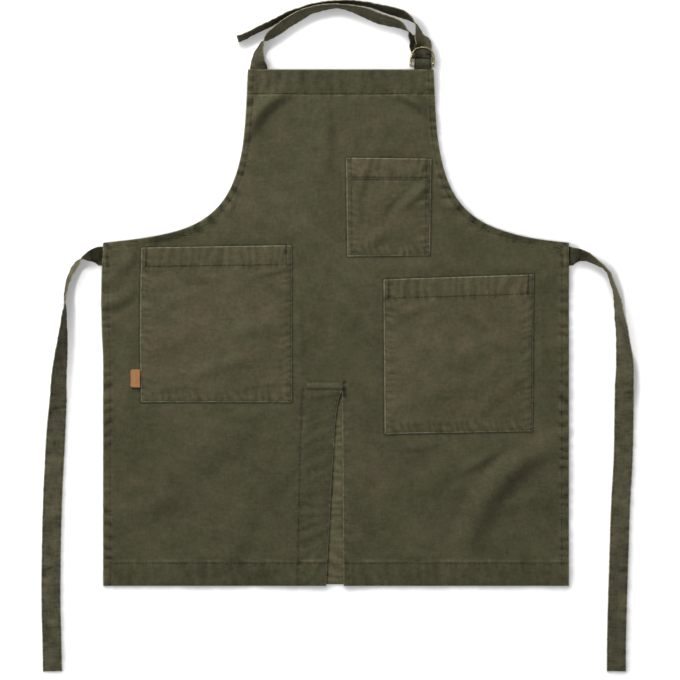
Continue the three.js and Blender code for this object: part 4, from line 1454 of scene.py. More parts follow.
        # Painted light falloff: lighter towards the bib, darker on the lower left of the skirt.
        marks += 0.22 * smooth(y, -60.0, 120.0) - 0.2 * smooth(-y, 150.0, 300.0) * smooth(-x, -60.0, 60.0)
        return marks + (0.55 * line(g.side - 14.4, 1.8) * smooth(-y, 36.0, 60.0)
                        * (0.6 + 0.6 * self.fine(x / 40.0, y / 34.0)))

    def dress(self, x: Array, y: Array) -> dict[str, Array]:
        """Everything that the body has at places in the plan.

        Args:
            x: places across.
            y: places along.

        Returns:
            The lower and the upper height, and what the finish reads: way along and distance from the
            nearest seam, distances from the edge and from the nearest pocket, beside which a shadow is
            painted, and crest, which holds painted light and shade.
        """
        s, g = self.sizes, self.gaps(x, y)
        seam_gap, seam_run = nearest(rows_of(x, y), self.seam_paths())
        in_side = 1 - smooth(g.side - g.hem, -0.4 * s.hem_step, 0.6 * s.hem_step)
        in_top = 1 - smooth(g.top - s.bib_hem, -s.hem_step, 0.0)
        in_foot = 1 - smooth(g.foot - s.skirt_hem, -s.hem_step, 0.0)
        in_facing = (1 - smooth(g.flap, 46.0, 50.0)) * (x < g.left_flap + 1) * (y < s.tip)
        hemmed = np.clip(np.maximum(np.maximum(in_side, in_top), np.maximum(in_foot, 0.5 * in_facing)), 0, 1)
        pleats, free, lower = self.pleats(g), self.free_of_pockets(x, y), self.under(x, y)
        tack = plateau(x, y, TACK_LEFT + 2, TACK_RIGHT - 2, s.tip + 4.4, s.tip + 8.6, 1.9)
        drawn_in = 0.5 * np.exp(-(seam_gap / 4.0) ** 2) * free
        raised = np.clip(0.85 * pleats * free - drawn_in, -lower, None)
        rounding = 0.5 * (1 - smooth(g.edge, 0.0, 2.2)) + 0.5 * (1 - smooth(g.flap, 0.0, 2.6))
        upper = lower + s.cloth + s.hem_layer * hemmed + raised - rounding + 1.7 * tack
        lower = lower + np.clip(raised, -lower, 0.5)
        # The crest: painted light and shade of the pleats, the tack and the marks, partly the wash-wear of
        # raised pleats, and hems made darker, less so at the foot and the lower sides and more so at the
        # bib's top and low on the armholes.
        crest = (np.clip(1.2 * pleats, -1.6, 1.3) - 0.5 * hemmed + 0.5 * tack + self.marks(g) + 0.18 * in_foot
                 + 0.14 * in_side * smooth(-y, 0.0, 20.0) - 0.2 * in_top
                 - 0.55 * in_side * smooth(y, -2.0, 4.0) * (1 - smooth(y, 60.0, 160.0)))
        return {"lower": np.maximum(lower, 0.0), "upper": np.maximum(upper, lower + 0.6),
                "run": seam_run, "gap": seam_gap, "rim": np.minimum(g.edge, np.maximum(g.flap, 0.0)),
                "patch": np.min([pocket.outside(x, y) for pocket in POCKETS], axis=0), "crest": crest}

    def top(self, x: Array, y: Array) -> Array:
        """The height of the cloth's upper side away from its hems' pleats."""
        return self.under(x, y) + self.sizes.cloth

    def surface(self) -> Surface:
        """The closed sheet.

        Returns:
            Two halves of a grid, from each side edge to the middle, that share their middle line above
            the vent's tip and part below it.
        """
        s = self.sizes
        half, edge_y, middle_y, shift = self.edge_rows()
        flaps = self.vent_edges(middle_y)
        heading = unit(np.gradient(rows_of(half, edge_y), axis=0))
        hem_width = np.where(edge_y < 0, s.side_hem, s.armhole_hem)
        corner = np.abs(edge_y).argmin()
        near = slice(corner - 16, corner + 14)
        in_hem, in_field, in_facing = (np.linspace(0, 1, count + 1)[None] for count in (
            self.hem_columns, self.field_columns, self.facing_columns))
        halves = []
        for side, flap in zip(Side, flaps):
            edge = rows_of(shift + side.value * half, edge_y)
            way = rows_of(flap, middle_y) - edge
            length = np.linalg.norm(way, axis=1)
            across = way / length[:, None]
            tangent = heading * np.array([side.value, 1.0])
            slant = np.abs(across[:, 0] * tangent[:, 1] - across[:, 1] * tangent[:, 0])
            hem = np.minimum(hem_width / np.maximum(slant, 0.08), 0.3 * length)
            padded = np.pad(hem, 8, mode="edge")
            hem[near] = np.convolve(padded, np.hanning(19)[1:-1] / 9.0, mode="same")[8:-8][near]
            facing = np.minimum(s.facing_width, length / 4)
            hem, facing, length = (item[:, None] for item in (hem, facing, length))
            distance = np.concatenate(
                [hem * in_hem, hem + (length - facing - hem) * in_field[:, 1:],
                 length - facing + facing * (1 - (1 - in_facing[:, 1:]) ** 1.25)], axis=1)
            if side is Side.LEFT:
                to_line = (np.interp(middle_y, *FACING_LINE) - edge[:, 0]) / across[:, 0]
                for row in np.nonzero(middle_y < s.tip + 3.0)[0]:
                    distance[row] = snapped(distance[row], to_line[row:row + 1])
            halves.append(edge[:, None, :] + across[:, None, :] * distance[..., None])
        rows, columns = halves[0].shape[:2]
        left = np.arange(rows * columns).reshape(rows, columns)
        right = left + rows * columns
        joined = middle_y >= s.tip - 1e-6
        right[joined, -1] = left[joined, -1]
        used, quads = np.unique(np.concatenate([grid_faces(left), grid_faces(right)[:, ::-1]]),
                                return_inverse=True)
        plan = np.concatenate([item.reshape(-1, 2) for item in halves])[used]
        facts = self.dress(plan[:, 0], plan[:, 1])
        upper, lower = (np.column_stack([plan, facts[skin]]) for skin in ("upper", "lower"))
        return Surface.closed_sheet(
            quads.reshape(-1, 4), upper, lower, plan, rows_of(facts["run"], facts["gap"]), facts["rim"],
            facts["crest"], patch=facts["patch"])


@dataclass
class PatchPocket:
    """A patch pocket: a sheet sewn down at its sides and foot, whose hemmed mouth stands off the body."""

    name: str
    across: float
    along: float
    width: float
    depth: float
    swell: float
    mouth_turn: float
    foot_turn: float
    foot: float
    bow: float
    side_line: float
    seed: int
    sizes: Sizes = SIZES
    pale_rows: int = 2
    relief: float = 2.5
    second_hem: bool = False
    columns: int = 84
    rows: int = 86

    @property
    def middle(self) -> tuple[float, float]:
        """The pocket's middle in the plan."""
        return self.across * self.sizes.half_waist, self.along * self.sizes.skirt_drop

    def cut(self, v: Array) -> tuple[Array, Array, Array]:
        """The width, the slope and the left side's bow at shares of the way up.

        Args:
            v: the shares.

        Returns:
            The three, all in millimetres but the slope.
        """
        turn = np.radians(self.foot_turn + (self.mouth_turn - self.foot_turn) * v)
        return (self.width * (self.foot + (1 - self.foot) * v), np.tan(turn),
                self.bow * self.width * np.sin(math.pi * np.clip(v, 0, 1)))

    def plan(self, u: Array, v: Array) -> tuple[Array, Array]:
        """The place in the plan for shares across and up: a box whose foot and mouth are turned a little.

        Args:
            u: shares across.
            v: shares up.

        Returns:
            Places across and along.
        """
        width, slope, bow = self.cut(v)
        x = self.middle[0] + (u - 0.5) * width - bow * (1 - u)
        return x, self.middle[1] + (v - 0.5) * self.depth + (u - 0.5) * width * slope

    def outside(self, x: Array, y: Array) -> Array:
        """How far places lie outside the pocket's outline, below nothing inside it.

        Args:
            x: places across.
            y: places along.

        Returns:
            The larger of the two distances past the sides and past foot and mouth, with the shares across
            and up found by setting them right three times in turn.
        """
        u, v = np.full_like(x, 0.5), np.full_like(y, 0.5)
        for _ in range(3):
            width, slope, bow = self.cut(v)
            u = (x - self.middle[0] + bow * (1 - u)) / width + 0.5
            v = (y - self.middle[1] - (u - 0.5) * width * slope) / self.depth + 0.5
        return np.maximum((np.abs(u - 0.5) - 0.5) * self.width, (np.abs(v - 0.5) - 0.5) * self.depth)

    def stand(self, u: Array, v: Array) -> Array:
        """How far it stands off: nothing at the sewn edges, all of the swell in the mouth's middle."""
        return self.swell * (1 - np.abs(2 * u - 1) ** 5) * (1 - (1 - v) ** 4)

    def seam_paths(self) -> list[Array]:
        """The rows of stitches: left side, foot, right side, mouth's hem and its two short upright rows.

        Returns:
            Paths in the plan, in that order. The chest pocket has a second row at its hem and at both sides.
        """
        inset, near, low = (POCKET_INSET / self.width, self.side_line / self.width, POCKET_INSET / self.depth)
        hem = 1 - (self.sizes.mouth_hem - POCKET_INSET) / self.depth
        share = np.linspace(0, 1, 60)
        across, in_hem = inset + share * (1 - 2 * inset), hem + share * (1 - hem)
        rows = [(inset, 1 - share * (1 - low)), (across, low), (1 - inset, low + share * (1 - low)),
                (across, hem), (near, in_hem), (1 - near, in_hem)]
        if self.second_hem:
            below = low + share * (hem - low)
            rows += [(across, hem - SECOND_ROW / self.depth), (near, below), (1 - near, below)]
        return [evenly(rows_of(*self.plan(*np.broadcast_arrays(u, v))), POCKET_PITCH) for u, v in rows]

    def surface(self, body: BodyPanel) -> Surface:
        """The closed sheet, laid on the body.

        Args:
            body: the body panel that it lies on.

        Returns:
            A grid of shares across and up. Its height is the body's upper side, the seat, the pocket's
            stand, its creases, and pleats along its edges.
        """
        s = self.sizes
        waves = Waves(self.seed)
        marks = np.array([POCKET_INSET, self.side_line]) / self.width
        u_line = snapped(end_heavy(self.columns), np.concatenate([marks, 1 - marks]))
        hem = self.depth - s.mouth_hem + POCKET_INSET
        v_line = snapped(end_heavy(self.rows),
                         np.array([POCKET_INSET, hem] + [hem - SECOND_ROW] * self.second_hem) / self.depth)
        v, u = (item.ravel() for item in np.meshgrid(v_line, u_line, indexing="ij"))
        x, y = self.plan(u, v)
        side = np.minimum(u, 1 - u) * self.width
        foot, mouth = v * self.depth, (1 - v) * self.depth
        sewn = np.minimum(side, foot)
        in_mouth = 1 - smooth(mouth - s.mouth_hem, -s.hem_step, 0.0)
        in_turn = 1 - smooth(sewn, 9.5, 12.5)
        seam_gap, seam_run = nearest(rows_of(x, y), self.seam_paths())
        pleat_run = np.where(side < foot, y + 400 * (u > 0.5), x)
        pleats = (puckers(pleat_run, sewn, 12.5, waves, 0.3) * (1 - smooth(sewn, 9.0, 26.0))
                  * smooth(sewn, 0.0, 3.5))
        pleats += (puckers(x, mouth, 15.0, waves, 0.1) * (1 - smooth(mouth, 30.0, 44.0)) * 0.75
                   * smooth(sewn, 0.0, 8.0))
        corner = [float(item) for item in self.plan(0.0, 0.0)]
        creases = POCKET_CREASES[self.name] * np.array([self.width, self.depth] * 3 + [1.0, self.relief])
        creases[:, :6] += np.array(corner * 3)
        inner = smooth(sewn, 1.0, 14.0)
        rolling = 0.9 * waves(x / 62.0, y / 50.0) + 0.6 * waves(x / 24.0 + 7, y / 21.0)
        base = body.top(x, y) + s.seat
        stand = 0.62 * self.stand(u, v) + (creased(x, y, creases) + rolling + 0.5) * inner
        lower = base + np.maximum(stand + 0.45 * pleats * inner, 0.0)
        thickness = s.cloth + s.hem_layer * np.clip(np.maximum(in_mouth, 0.6 * in_turn), 0, 1)
        drawn_in = 0.45 * np.exp(-(seam_gap / 2.6) ** 2)
        rounding = 0.75 * (1 - smooth(sewn, 0.0, 1.8)) + 0.4 * (1 - smooth(mouth, 0.0, 1.8))
        upper = np.maximum(lower + thickness - drawn_in - rounding + 0.2 * pleats, lower + 0.5)
        marks = -line(side - self.side_line, 1.2) * (0.9 if self.second_hem else 1.5) * in_mouth
        marks -= 0.3 * line(mouth - s.mouth_hem + POCKET_INSET, 1.2)
        ids = np.arange(len(x)).reshape(self.rows + 1, -1)
        flat = rows_of(u * self.width + 900.0 + self.seed * 37.0, v * self.depth)
        # The crest: the pleats' painted light and shade, partly wash-wear, and dark lines at the inner stitch
        # rows.
        return Surface.closed_sheet(
            grid_faces(ids)[:, [0, 3, 2, 1]], rows_of(x, y, upper), rows_of(x, y, lower), flat,
            rows_of(seam_run, seam_gap), np.minimum(sewn, mouth),
            np.clip(pleats, -1.2, 1.2) + marks * smooth(foot, 2.0, 5.0), 0.22)


POCKETS = (
    PatchPocket("pocket_left", -0.514, -0.238, 240.0, 249.0, 7.5, 0.9, 0.0, 1.005, 0.008, 8.5, 3),
    PatchPocket("pocket_right", 0.527, -0.327, 240.0, 249.0, 7.5, 1.9, 1.1, 0.985, 0.0, 8.5, 5),
    PatchPocket("pocket_chest", 0.227, 0.104, 137.0, 156.0, 7.0, -0.7, 0.9, 0.965, 0.0, 7.8, 8,
                pale_rows=3, relief=3.4, second_hem=True, columns=64, rows=68),
)


@dataclass
class VentUnderlap:
    """The strip of cloth behind the vent, seen between its two flaps."""

    sizes: Sizes = SIZES
    rows: int = 110
    columns: int = 22

    def surface(self, body: BodyPanel) -> Surface:
        """The closed strip.

        Args:
            body: the body panel that it lies behind.

        Returns:
            A flat grid from the right flap's seam to the left, with pleats where it is seen.
        """
        s = self.sizes
        waves = Waves(31)
        v, w = (item.ravel() for item in np.meshgrid(np.linspace(0, 1, self.rows + 1),
                                                     np.linspace(0, 1, self.columns + 1), indexing="ij"))
        y = s.hem_step - s.skirt_drop + v * (s.vent_rise - s.hem_step)
        left, right = body.vent_edges(y)
        end = right + s.underlap_seam
        x = end - s.underlap_width * (1 - w)
        seen = smooth(x, left - 4, left + 3) * (1 - smooth(x, right - 4, right + 2))
        pleats = puckers(y, x, 15.0, waves, 0.1)
        upper = s.cloth + 0.45 * seen * (1 + pleats)
        lower = 0.3 * seen * (1 + pleats)
        ids = np.arange(len(x)).reshape(self.rows + 1, -1)
        rim = np.minimum(np.minimum(w, 1 - w) * s.underlap_width, np.minimum(v, 1 - v) * s.vent_rise)
        # Patch: distance from the left flap's edge, for its painted shadow; crest: the pleats' painted light
        # and shade.
        return Surface.closed_sheet(
            grid_faces(ids)[:, [0, 3, 2, 1]], rows_of(x, y, upper), rows_of(x, y, lower),
            rows_of(x + 1500, y), rows_of(y, np.abs(x - right + 3.0)), rim, pleats * seen,
            patch=x - left - 0.6)


@dataclass
class Tape:
    """A flat tape swept along a route, folded from canvas and topstitched along both edges."""

    name: str
    width: float
    thickness: float
    stations: Array
    across: Array
    seed: int

    @staticmethod
    def turned(rows: Array, width: float, thickness: float, pitch: float = 2.8) -> tuple[Array, Array]:
        """Stations along a smooth route.

        Args:
            rows: places in the plan, the turn in degrees and the height of the lower edge.
            width: the tape's width.
            thickness: its thickness.
            pitch: about how far apart the stations lie.

        Returns:
            The places of the tape's middle, and the unit vectors across it. At turn 0 the tape lies flat
            and at 90 it stands on edge: across is the left-hand normal times the turn's cosine, plus the
            upright times its sine, and the middle lies half the tape's standing height above its edge.
        """
        per_span = 24
        plan, at_row = catmull_rom(rows[:, :2], per_span)
        kernel = np.hanning(per_span + 2)[1:-1]
        kernel /= kernel.sum()
        dense = [plan]
        for values in rows[:, 2:4].T:
            wide = np.pad(np.interp(at_row, np.arange(len(rows)), values), per_span, mode="edge")
            dense.append(np.convolve(wide, kernel, mode="same")[per_span:-per_span])
        run = run_along(plan)
        places = np.linspace(0, run[-1], max(3, int(run[-1] / pitch) + 1))
        x, y, turn, low = read_along(run, np.column_stack(dense), places).T
        heading = unit(np.gradient(rows_of(x, y), axis=0))
        rise, level = np.sin(np.radians(turn)), np.cos(np.radians(turn))
        across = rows_of(-heading[:, 1] * level, heading[:, 0] * level, rise)
        standing = width * np.sqrt(rise ** 2 + 2e-5) + thickness * np.sqrt(level ** 2 + 1e-3)
        return rows_of(x, y, low + standing / 2), across

    def profile(self) -> tuple[Array, Array]:
        """The section of the tape.

        Returns:
            Places from edge to edge, and the half thickness at each: full, less a groove at the stitch row
            inside each edge, times a rounded shoulder at the edge itself.
        """
        half = self.width / 2
        inside = half - np.array([0.0, 0.25, 0.8, 1.6, TAPE_INSET, 3.2, 4.4, 7.5, 11.0])
        places = np.concatenate([-inside, [0.0], inside[::-1]])
        from_edge = half - np.abs(places)
        groove = 1 - 0.34 * line(from_edge - TAPE_INSET, 0.75)
        shoulder = np.sqrt(np.clip(1 - (1 - np.minimum(from_edge / 0.8, 1.0)) ** 2, 0.0, 1.0))
        return places, self.thickness / 2 * groove * np.maximum(shoulder, 0.12)

    def frame(self) -> tuple[Array, Array, Array]:
        """The way along the tape, and its unit vectors along and out of its face."""
        along = unit(np.gradient(self.stations, axis=0))
        return run_along(self.stations), along, unit(np.cross(along, self.across))

    def ripple(self, run: Array, place: Array) -> tuple[Array, Array]:
        """How the tape's edges pucker.

        Args:
            run: the way along the tape.
            place: the place across it.

        Returns:
            How far a point moves out of the tape's face and how far it moves across, both larger at the
            edges than in the middle.
        """
        waves = Waves(self.seed)
        share = np.abs(place) / (self.width / 2)
        side = 40.0 * np.sign(place)
        lift = 0.42 * share ** 2 * puckers(run + side, share * 6, 13.5, waves, 0.3)
        lift = lift + 0.55 * waves(run / 26.0 + 3, place / 17.0) + 0.3 * waves(run / 9.0 + 8, place / 30.0)
        draw = -0.35 * np.sign(place) * share ** 4 * (0.5 + 0.5 * waves(run / 7.5 + side, 1.5))
        return lift, draw

    def surface(self) -> Surface:
        """The closed tape.

        Returns:
            The section carried along the stations, held over the floor, with both ends capped: a ladder
            of quads across each end, and a triangle at each tip.
        """
        places, halves = self.profile()
        run, _, face = self.frame()
        loop_places = np.concatenate([places, places[-2:0:-1]])
        loop_heights = np.concatenate([halves, -halves[-2:0:-1]])
        count, ring = len(self.stations), len(loop_places)
        run_grid, place_grid = np.meshgrid(run, loop_places, indexing="ij")
        lift, draw = self.ripple(run_grid, place_grid)
        bent = np.zeros_like(lift)
        if self.name in TIE_CREASES:
            plan = self.stations[:, None, :2] + self.across[:, None, :2] * place_grid[..., None]
            bent = creased(*plan.reshape(-1, 2).T, TIE_CREASES[self.name]).reshape(lift.shape)
        lift = lift - 0.6 * bent
        ends = np.minimum(run_grid, run[-1] - run_grid)
        thin = 0.45 + 0.55 * smooth(ends, 0.0, 1.2)
        points = (self.stations[:, None, :] + self.across[:, None, :] * (place_grid + draw)[..., None]
                  - face[:, None, :] * (loop_heights[None] * thin + lift)[..., None]).reshape(-1, 3)
        points[:, 2] = np.maximum(points[:, 2], 0.0)
        ids = np.arange(count * ring).reshape(count, ring)
        middle = ring // 2
        ladder = rows_of(np.arange(middle + 1), -np.arange(middle + 1) % ring)
        first, last = ids[0][ladder], ids[-1][ladder]
        walls = grid_faces(np.pad(ids, ((0, 0), (0, 1)), mode="wrap"))
        caps = [grid_faces(first)[1:-1], grid_faces(last)[1:-1, ::-1]]
        tips = [tip for end, way in ((first, 1), (last, -1))
                for tip in ([end[0, 0], *end[1, ::way]], [end[-1, 0], *end[-2, ::-way]])]
        from_edge = self.width / 2 - np.abs(place_grid)
        # Painted light and shade along the tape.
        shades = np.interp(run_grid, *np.array(TAPE_SHADES[self.name]).T)
        # The crest: painted shade in the creases' valleys and painted light on their ridges, the painted
        # light and shade along the tape, and the puckers' lift as light and dark, partly wash-wear and partly
        # painted light and shade.
        crest = 2.8 * bent + shades - np.clip(lift * 2.0, -1, 1) * np.sign(loop_heights[None])
        return Surface(points, np.concatenate([walls, *caps]),
                       rows_of(place_grid + self.seed * 211.0, run_grid).reshape(-1, 2),
                       rows_of(run_grid, np.abs(from_edge - TAPE_INSET)).reshape(-1, 2),
                       np.minimum(from_edge, ends).ravel(), crest.ravel(), tips=np.array(tips))

    def seam_lines(self) -> Rows:
        """The four rows of stitches, two on each face.

        Returns:
            The rows, each as places and the unit vectors out of the cloth there.
        """
        run, _, face = self.frame()
        lines = []
        for edge in (-1, 1):
            place = np.full(len(run), edge * (self.width / 2 - TAPE_INSET))
            lift, draw = self.ripple(run, place)
            for skin in (-1, 1):
                height = skin * self.thickness / 2 * 0.66 + lift
                points = self.stations + self.across * (place + draw)[:, None] - face * height[:, None]
                lines.append((points, -face * skin))
        return lines


def neck_tape(s: Sizes = SIZES) -> Tape:
    """The neck strap, sewn behind the bib and closed with the rings.

    Args:
        s: the apron's sizes.

    Returns:
        The tape: an arch to the rings, a half circle round the lower one's bow, and the tail back over the
        arch.
    """
    def placed(route: Array, shift: float) -> Array:
        """A route's rows in millimetres, moved across by the shift.

        Args:
            route: shares of the span and the rise, turn, and height in thicknesses of tape.
            shift: how far it is moved across.

        Returns:
            Places across and along, turn, and height of the lower edge.
        """
        low = route[:, 3] * s.tape if route.shape[1] > 3 else np.zeros(len(route))
        return rows_of(s.strap_x + route[:, 0] * s.strap_span + shift,
                       s.bib_rise + route[:, 1] * s.neck_rise, route[:, 2], low)

    hidden = np.array([[s.strap_x, s.bib_rise - s.sewn_length, 180.0, 0.0]])
    arch = Tape.turned(np.vstack([hidden, placed(NECK_ROUTE, 0.0)]), s.strap_width, s.tape)
    tail = Tape.turned(placed(TAIL_ROUTE, s.tail_shift), s.strap_width, s.tape)
    radius = (s.tail_level - s.tape / 2) / 2
    middle = s.bib_rise + s.fold_rise + radius + s.tape / 2
    angle = np.radians(np.linspace(0, 180, 17))
    fold = rows_of(s.closure_x + s.tail_shift * (angle / math.pi - 0.5), middle - radius * np.sin(angle),
                   s.tape / 2 + radius * (1 - np.cos(angle)))
    stations = np.vstack([arch[0], fold, tail[0]])
    across = np.vstack([arch[1], np.tile([-1.0, 0.0, 0.0], (len(fold), 1)), tail[1]])
    return Tape("neck_strap", s.strap_width, s.tape, stations, across, 41)


def waist_tie(side: Side, s: Sizes = SIZES) -> Tape:
    """A waist tie.

    Args:
        side: the side that it is on.
        s: the apron's sizes.

    Returns:
        The tape from behind the body's side down to its free end, with its twist near the body.
    """
    route = LEFT_TIE_ROUTE if side is Side.LEFT else RIGHT_TIE_ROUTE
    root = side.value * s.half_waist
    rows = rows_of(root + side.value * route[:, 0] * s.tie_reach, -s.tie_root - route[:, 1] * s.tie_drop,
                   route[:, 2], np.zeros(len(route)))
    hidden = np.array([[root - side.value * s.sewn_length, -s.tie_root, 0.0, 0.0]])
    stations, across = Tape.turned(np.vstack([hidden, rows]), s.tie_width, s.tape)
    name = "tie_left" if side is Side.LEFT else "tie_right"
    return Tape(name, s.tie_width, s.tape, stations, across, 47 + side.value)


def ring_loop_tape(s: Sizes = SIZES) -> Tape:
    """The short loop that holds both rings.

    Args:
        s: the apron's sizes.

    Returns:
        The tape from behind the bib round the bars and back. Its bends are rounded twice: each time a
        point moves to the mean of its two neighbours and twice itself.
    """
    low, back = s.cloth / 2, s.cloth * 1.5 + s.seat
    crown = s.upper_bar + s.wire_radius + s.seat + s.cloth / 2
    front = s.bib_rise + s.loop_front - s.cloth / 2
    profile = np.array([
        (s.bib_rise - s.sewn_length, low), (s.bib_rise, low), (front - s.cloth, low), (front, low + s.cloth),
        (front + 1.0, crown - s.cloth), (front, crown),
        (s.bib_rise + s.upper_bar_rise - 2 * s.wire_radius, crown),
        (s.bib_rise + s.lower_bar_rise - s.wire_radius,
         s.lower_bar + s.wire_radius + 2 * s.seat + s.cloth / 2),
        (s.bib_rise, back + 2 * s.seat), (s.bib_rise - 2 * s.hem_step, back),
        (s.bib_rise - s.sewn_length, back),
    ])
    soft = evenly(profile, 1.0)
    for _ in range(2):
        soft[1:-1] = (soft[:-2] + 2 * soft[1:-1] + soft[2:]) / 4
    stations = np.column_stack([np.full(len(soft), s.closure_x + s.loop_shift), soft])
    return Tape("ring_loop", s.loop_width, s.cloth, stations, np.tile([-1.0, 0.0, 0.0], (len(soft), 1)), 53)


@dataclass
class DRing:
    """A ring of round wire: a straight bar, short corners and a rounded bow."""

    name: str
    bar_rise: float
    bar_level: float
    arc_level: float
    turn: float
    sizes: Sizes = SIZES
    steps: int = 144
    sides: int = 16

    def mesh(self) -> tuple[Array, Array]:
        """Points and faces of the wire.

        Returns:
            A circle carried round a superellipse that is squared off towards the bar and climbs from the
            bar's height to the bow's.
        """
        s = self.sizes
        corner = s.ring_corner * s.ring_half_width
        angle = 2 * math.pi * np.arange(self.steps) / self.steps
        cosine, sine = np.cos(angle), np.sin(angle)
        power = 2 / s.ring_roundness
        plan_x = s.ring_half_width * np.sign(cosine) * np.abs(cosine) ** power
        bow = np.where(sine >= 0, s.ring_depth - corner, corner)
        plan_y = corner + bow * np.sign(sine) * np.abs(sine) ** np.where(sine >= 0, power, 0.5)
        level = self.bar_level + (self.arc_level - self.bar_level) * plan_y / s.ring_depth
        cosine, sine = math.cos(math.radians(self.turn)), math.sin(math.radians(self.turn))
        path = rows_of(s.closure_x + plan_x * cosine - plan_y * sine,
                       s.bib_rise + self.bar_rise + plan_x * sine + plan_y * cosine, level)
        closed = np.vstack([path, path[0]])
        run = run_along(closed)
        path = read_along(run, closed, np.linspace(0, run[-1], self.steps, endpoint=False))
        along = unit(np.roll(path, -1, axis=0) - np.roll(path, 1, axis=0))
        outward = unit(np.cross(along, [0.0, 0.0, 1.0]))
        upward = np.cross(outward, along)
        around = 2 * math.pi * np.arange(self.sides) / self.sides
        points = (path[:, None] + s.wire_radius * (np.cos(around)[None, :, None] * outward[:, None]
                                                   + np.sin(around)[None, :, None] * upward[:, None]))
        ids = np.arange(self.steps * self.sides).reshape(self.steps, self.sides)
        return points.reshape(-1, 3), grid_faces(np.pad(ids, (0, 1), mode="wrap"))


@dataclass
class LabelTab:
    """A small bare leather tab with two rounded corners, beside the left pocket's seam."""

    sizes: Sizes = SIZES
    small_corner: float = 0.5
    stand: float = 0.4
    shares: tuple[float, ...] = (1.0, 0.985, 0.93, 0.82, 0.6, 0.3, 0.0)
    falls: tuple[float, ...] = (0.5, 0.12, 0.0, 0.02, 0.0, 0.0, 0.0)

    def outline(self, left: float, right: float, low: float, high: float) -> Array:
        """The tab's outline.

        Args:
            left: its rounded side.
            right: its sewn side.
            low: its lower side.
            high: its upper side.

        Returns:
            Points counter-clockwise from the upper left, with quarter circles at the two left corners.
        """
        arc = np.linspace(0, math.pi / 2, 9)
        radius, small = self.sizes.tab_radius, self.small_corner
        return np.vstack([
            rows_of(left + radius - radius * np.sin(arc), high - radius + radius * np.cos(arc)),
            rows_of(np.full(12, left), np.linspace(high - radius, low + radius, 14)[1:-1]),
            rows_of(left + radius - radius * np.cos(arc), low + radius - radius * np.sin(arc)),
            rows_of(np.linspace(left + radius, right - small, 8)[1:], np.full(7, low)),
            rows_of(np.full(14, right), np.linspace(low + small, high - small, 14)),
            rows_of(np.linspace(right - small, left + radius, 8)[:-1], np.full(7, high))])

    def mesh(self, body: BodyPanel) -> tuple[Array, Array, Array]:
        """Points, faces and distances from the rim.

        Args:
            body: the body panel that it lies on.

        Returns:
            Rings of the outline drawn towards its middle, whose height falls off over the last one, on
            both faces, with the edge between them.
        """
        s = self.sizes
        seam_x, middle_y = (float(item) for item in POCKETS[0].plan(0.0, s.tab_place))
        right = seam_x - s.seat
        left = right - s.tab_width
        outline = self.outline(left, right, middle_y - s.tab_length / 2, middle_y + s.tab_length / 2)
        centre = np.array([(left + right) / 2, middle_y])
        base = float(body.top(np.array([left]), np.array([middle_y]))[0]) + s.seat + self.stand
        layers, rims = [], []
        for skin in (1, -1):
            for share, fall in zip(self.shares, self.falls):
                plan = centre + (outline - centre) * share
                level = base + s.tab_thickness / 2 + skin * (s.tab_thickness / 2 - fall)
                layers.append(np.column_stack([plan, np.full(len(plan), level)]))
                rims.append(np.linalg.norm(outline - plan, axis=1))
        ids = np.arange(len(layers) * len(outline)).reshape(len(layers), -1)
        ids = np.concatenate([ids[len(self.shares) - 1::-1], ids[len(self.shares):]])
        return np.vstack(layers), grid_faces(np.pad(ids, ((0, 0), (0, 1)), mode="wrap")), np.concatenate(rims)


@dataclass
class Stitching:
    """Rows of sewing thread, one small closed body for each stitch."""

    pitch: float = 3.4
    length: float = 2.7
    radius: float = 0.26

    def mesh(self, lines: Rows) -> tuple[Array, Array]:
        """All stitches of some rows.

        Args:
            lines: the rows, each as places and the unit vectors out of the cloth there.

        Returns:
            Points and triangles. Each stitch is a four-sided spindle along its row, whose rings bow out of
            the cloth by a half sine.
        """
        places, alongs, outs = [], [], []
        for points, out in lines:
            run = run_along(points)
            if run[-1] < 2 * self.pitch:
                continue
            at = np.arange(self.pitch / 2, run[-1] - self.pitch / 4, self.pitch)
            places.append(read_along(run, points, at))
            alongs.append(read_along(run, points, at + 1.0) - read_along(run, points, at - 1.0))
            outs.append(read_along(run, out, at))
        place, along, out = np.vstack(places), unit(np.vstack(alongs)), np.vstack(outs)
        out = unit(out - (out * along).sum(axis=1, keepdims=True) * along)
        aside = np.cross(out, along)
        share = np.array([-1.0, -0.72, 0.0, 0.72, 1.0])
        thick = np.array([0.0, 0.85, 1.0, 0.85, 0.0]) * self.radius
        rise = 0.10 * np.cos(share * math.pi / 2)
        shape = [along * (share[ring] * self.length / 2) + aside * (thick[ring] * math.cos(turn))
                 + out * (rise[ring] + thick[ring] * math.sin(turn))
                 for ring in (1, 2, 3) for turn in math.pi / 4 + math.pi / 2 * np.arange(4)]
        shape += [along * (share[end] * self.length / 2) + out * rise[end] for end in (0, 4)]
        points = place[:, None, :] + np.stack(shape, axis=1)
        faces = []
        for side in range(4):
            after = (side + 1) % 4
            faces += [(12, side, after), (13, 8 + after, 8 + side)]
            for a, b in ((side, after), (side + 4, after + 4)):
                faces += [(a, a + 4, b + 4), (a, b + 4, b)]
        triangles = np.arange(len(points))[:, None, None] * 14 + np.array(faces)[None]
        return points.reshape(-1, 3), triangles.reshape(-1, 3)


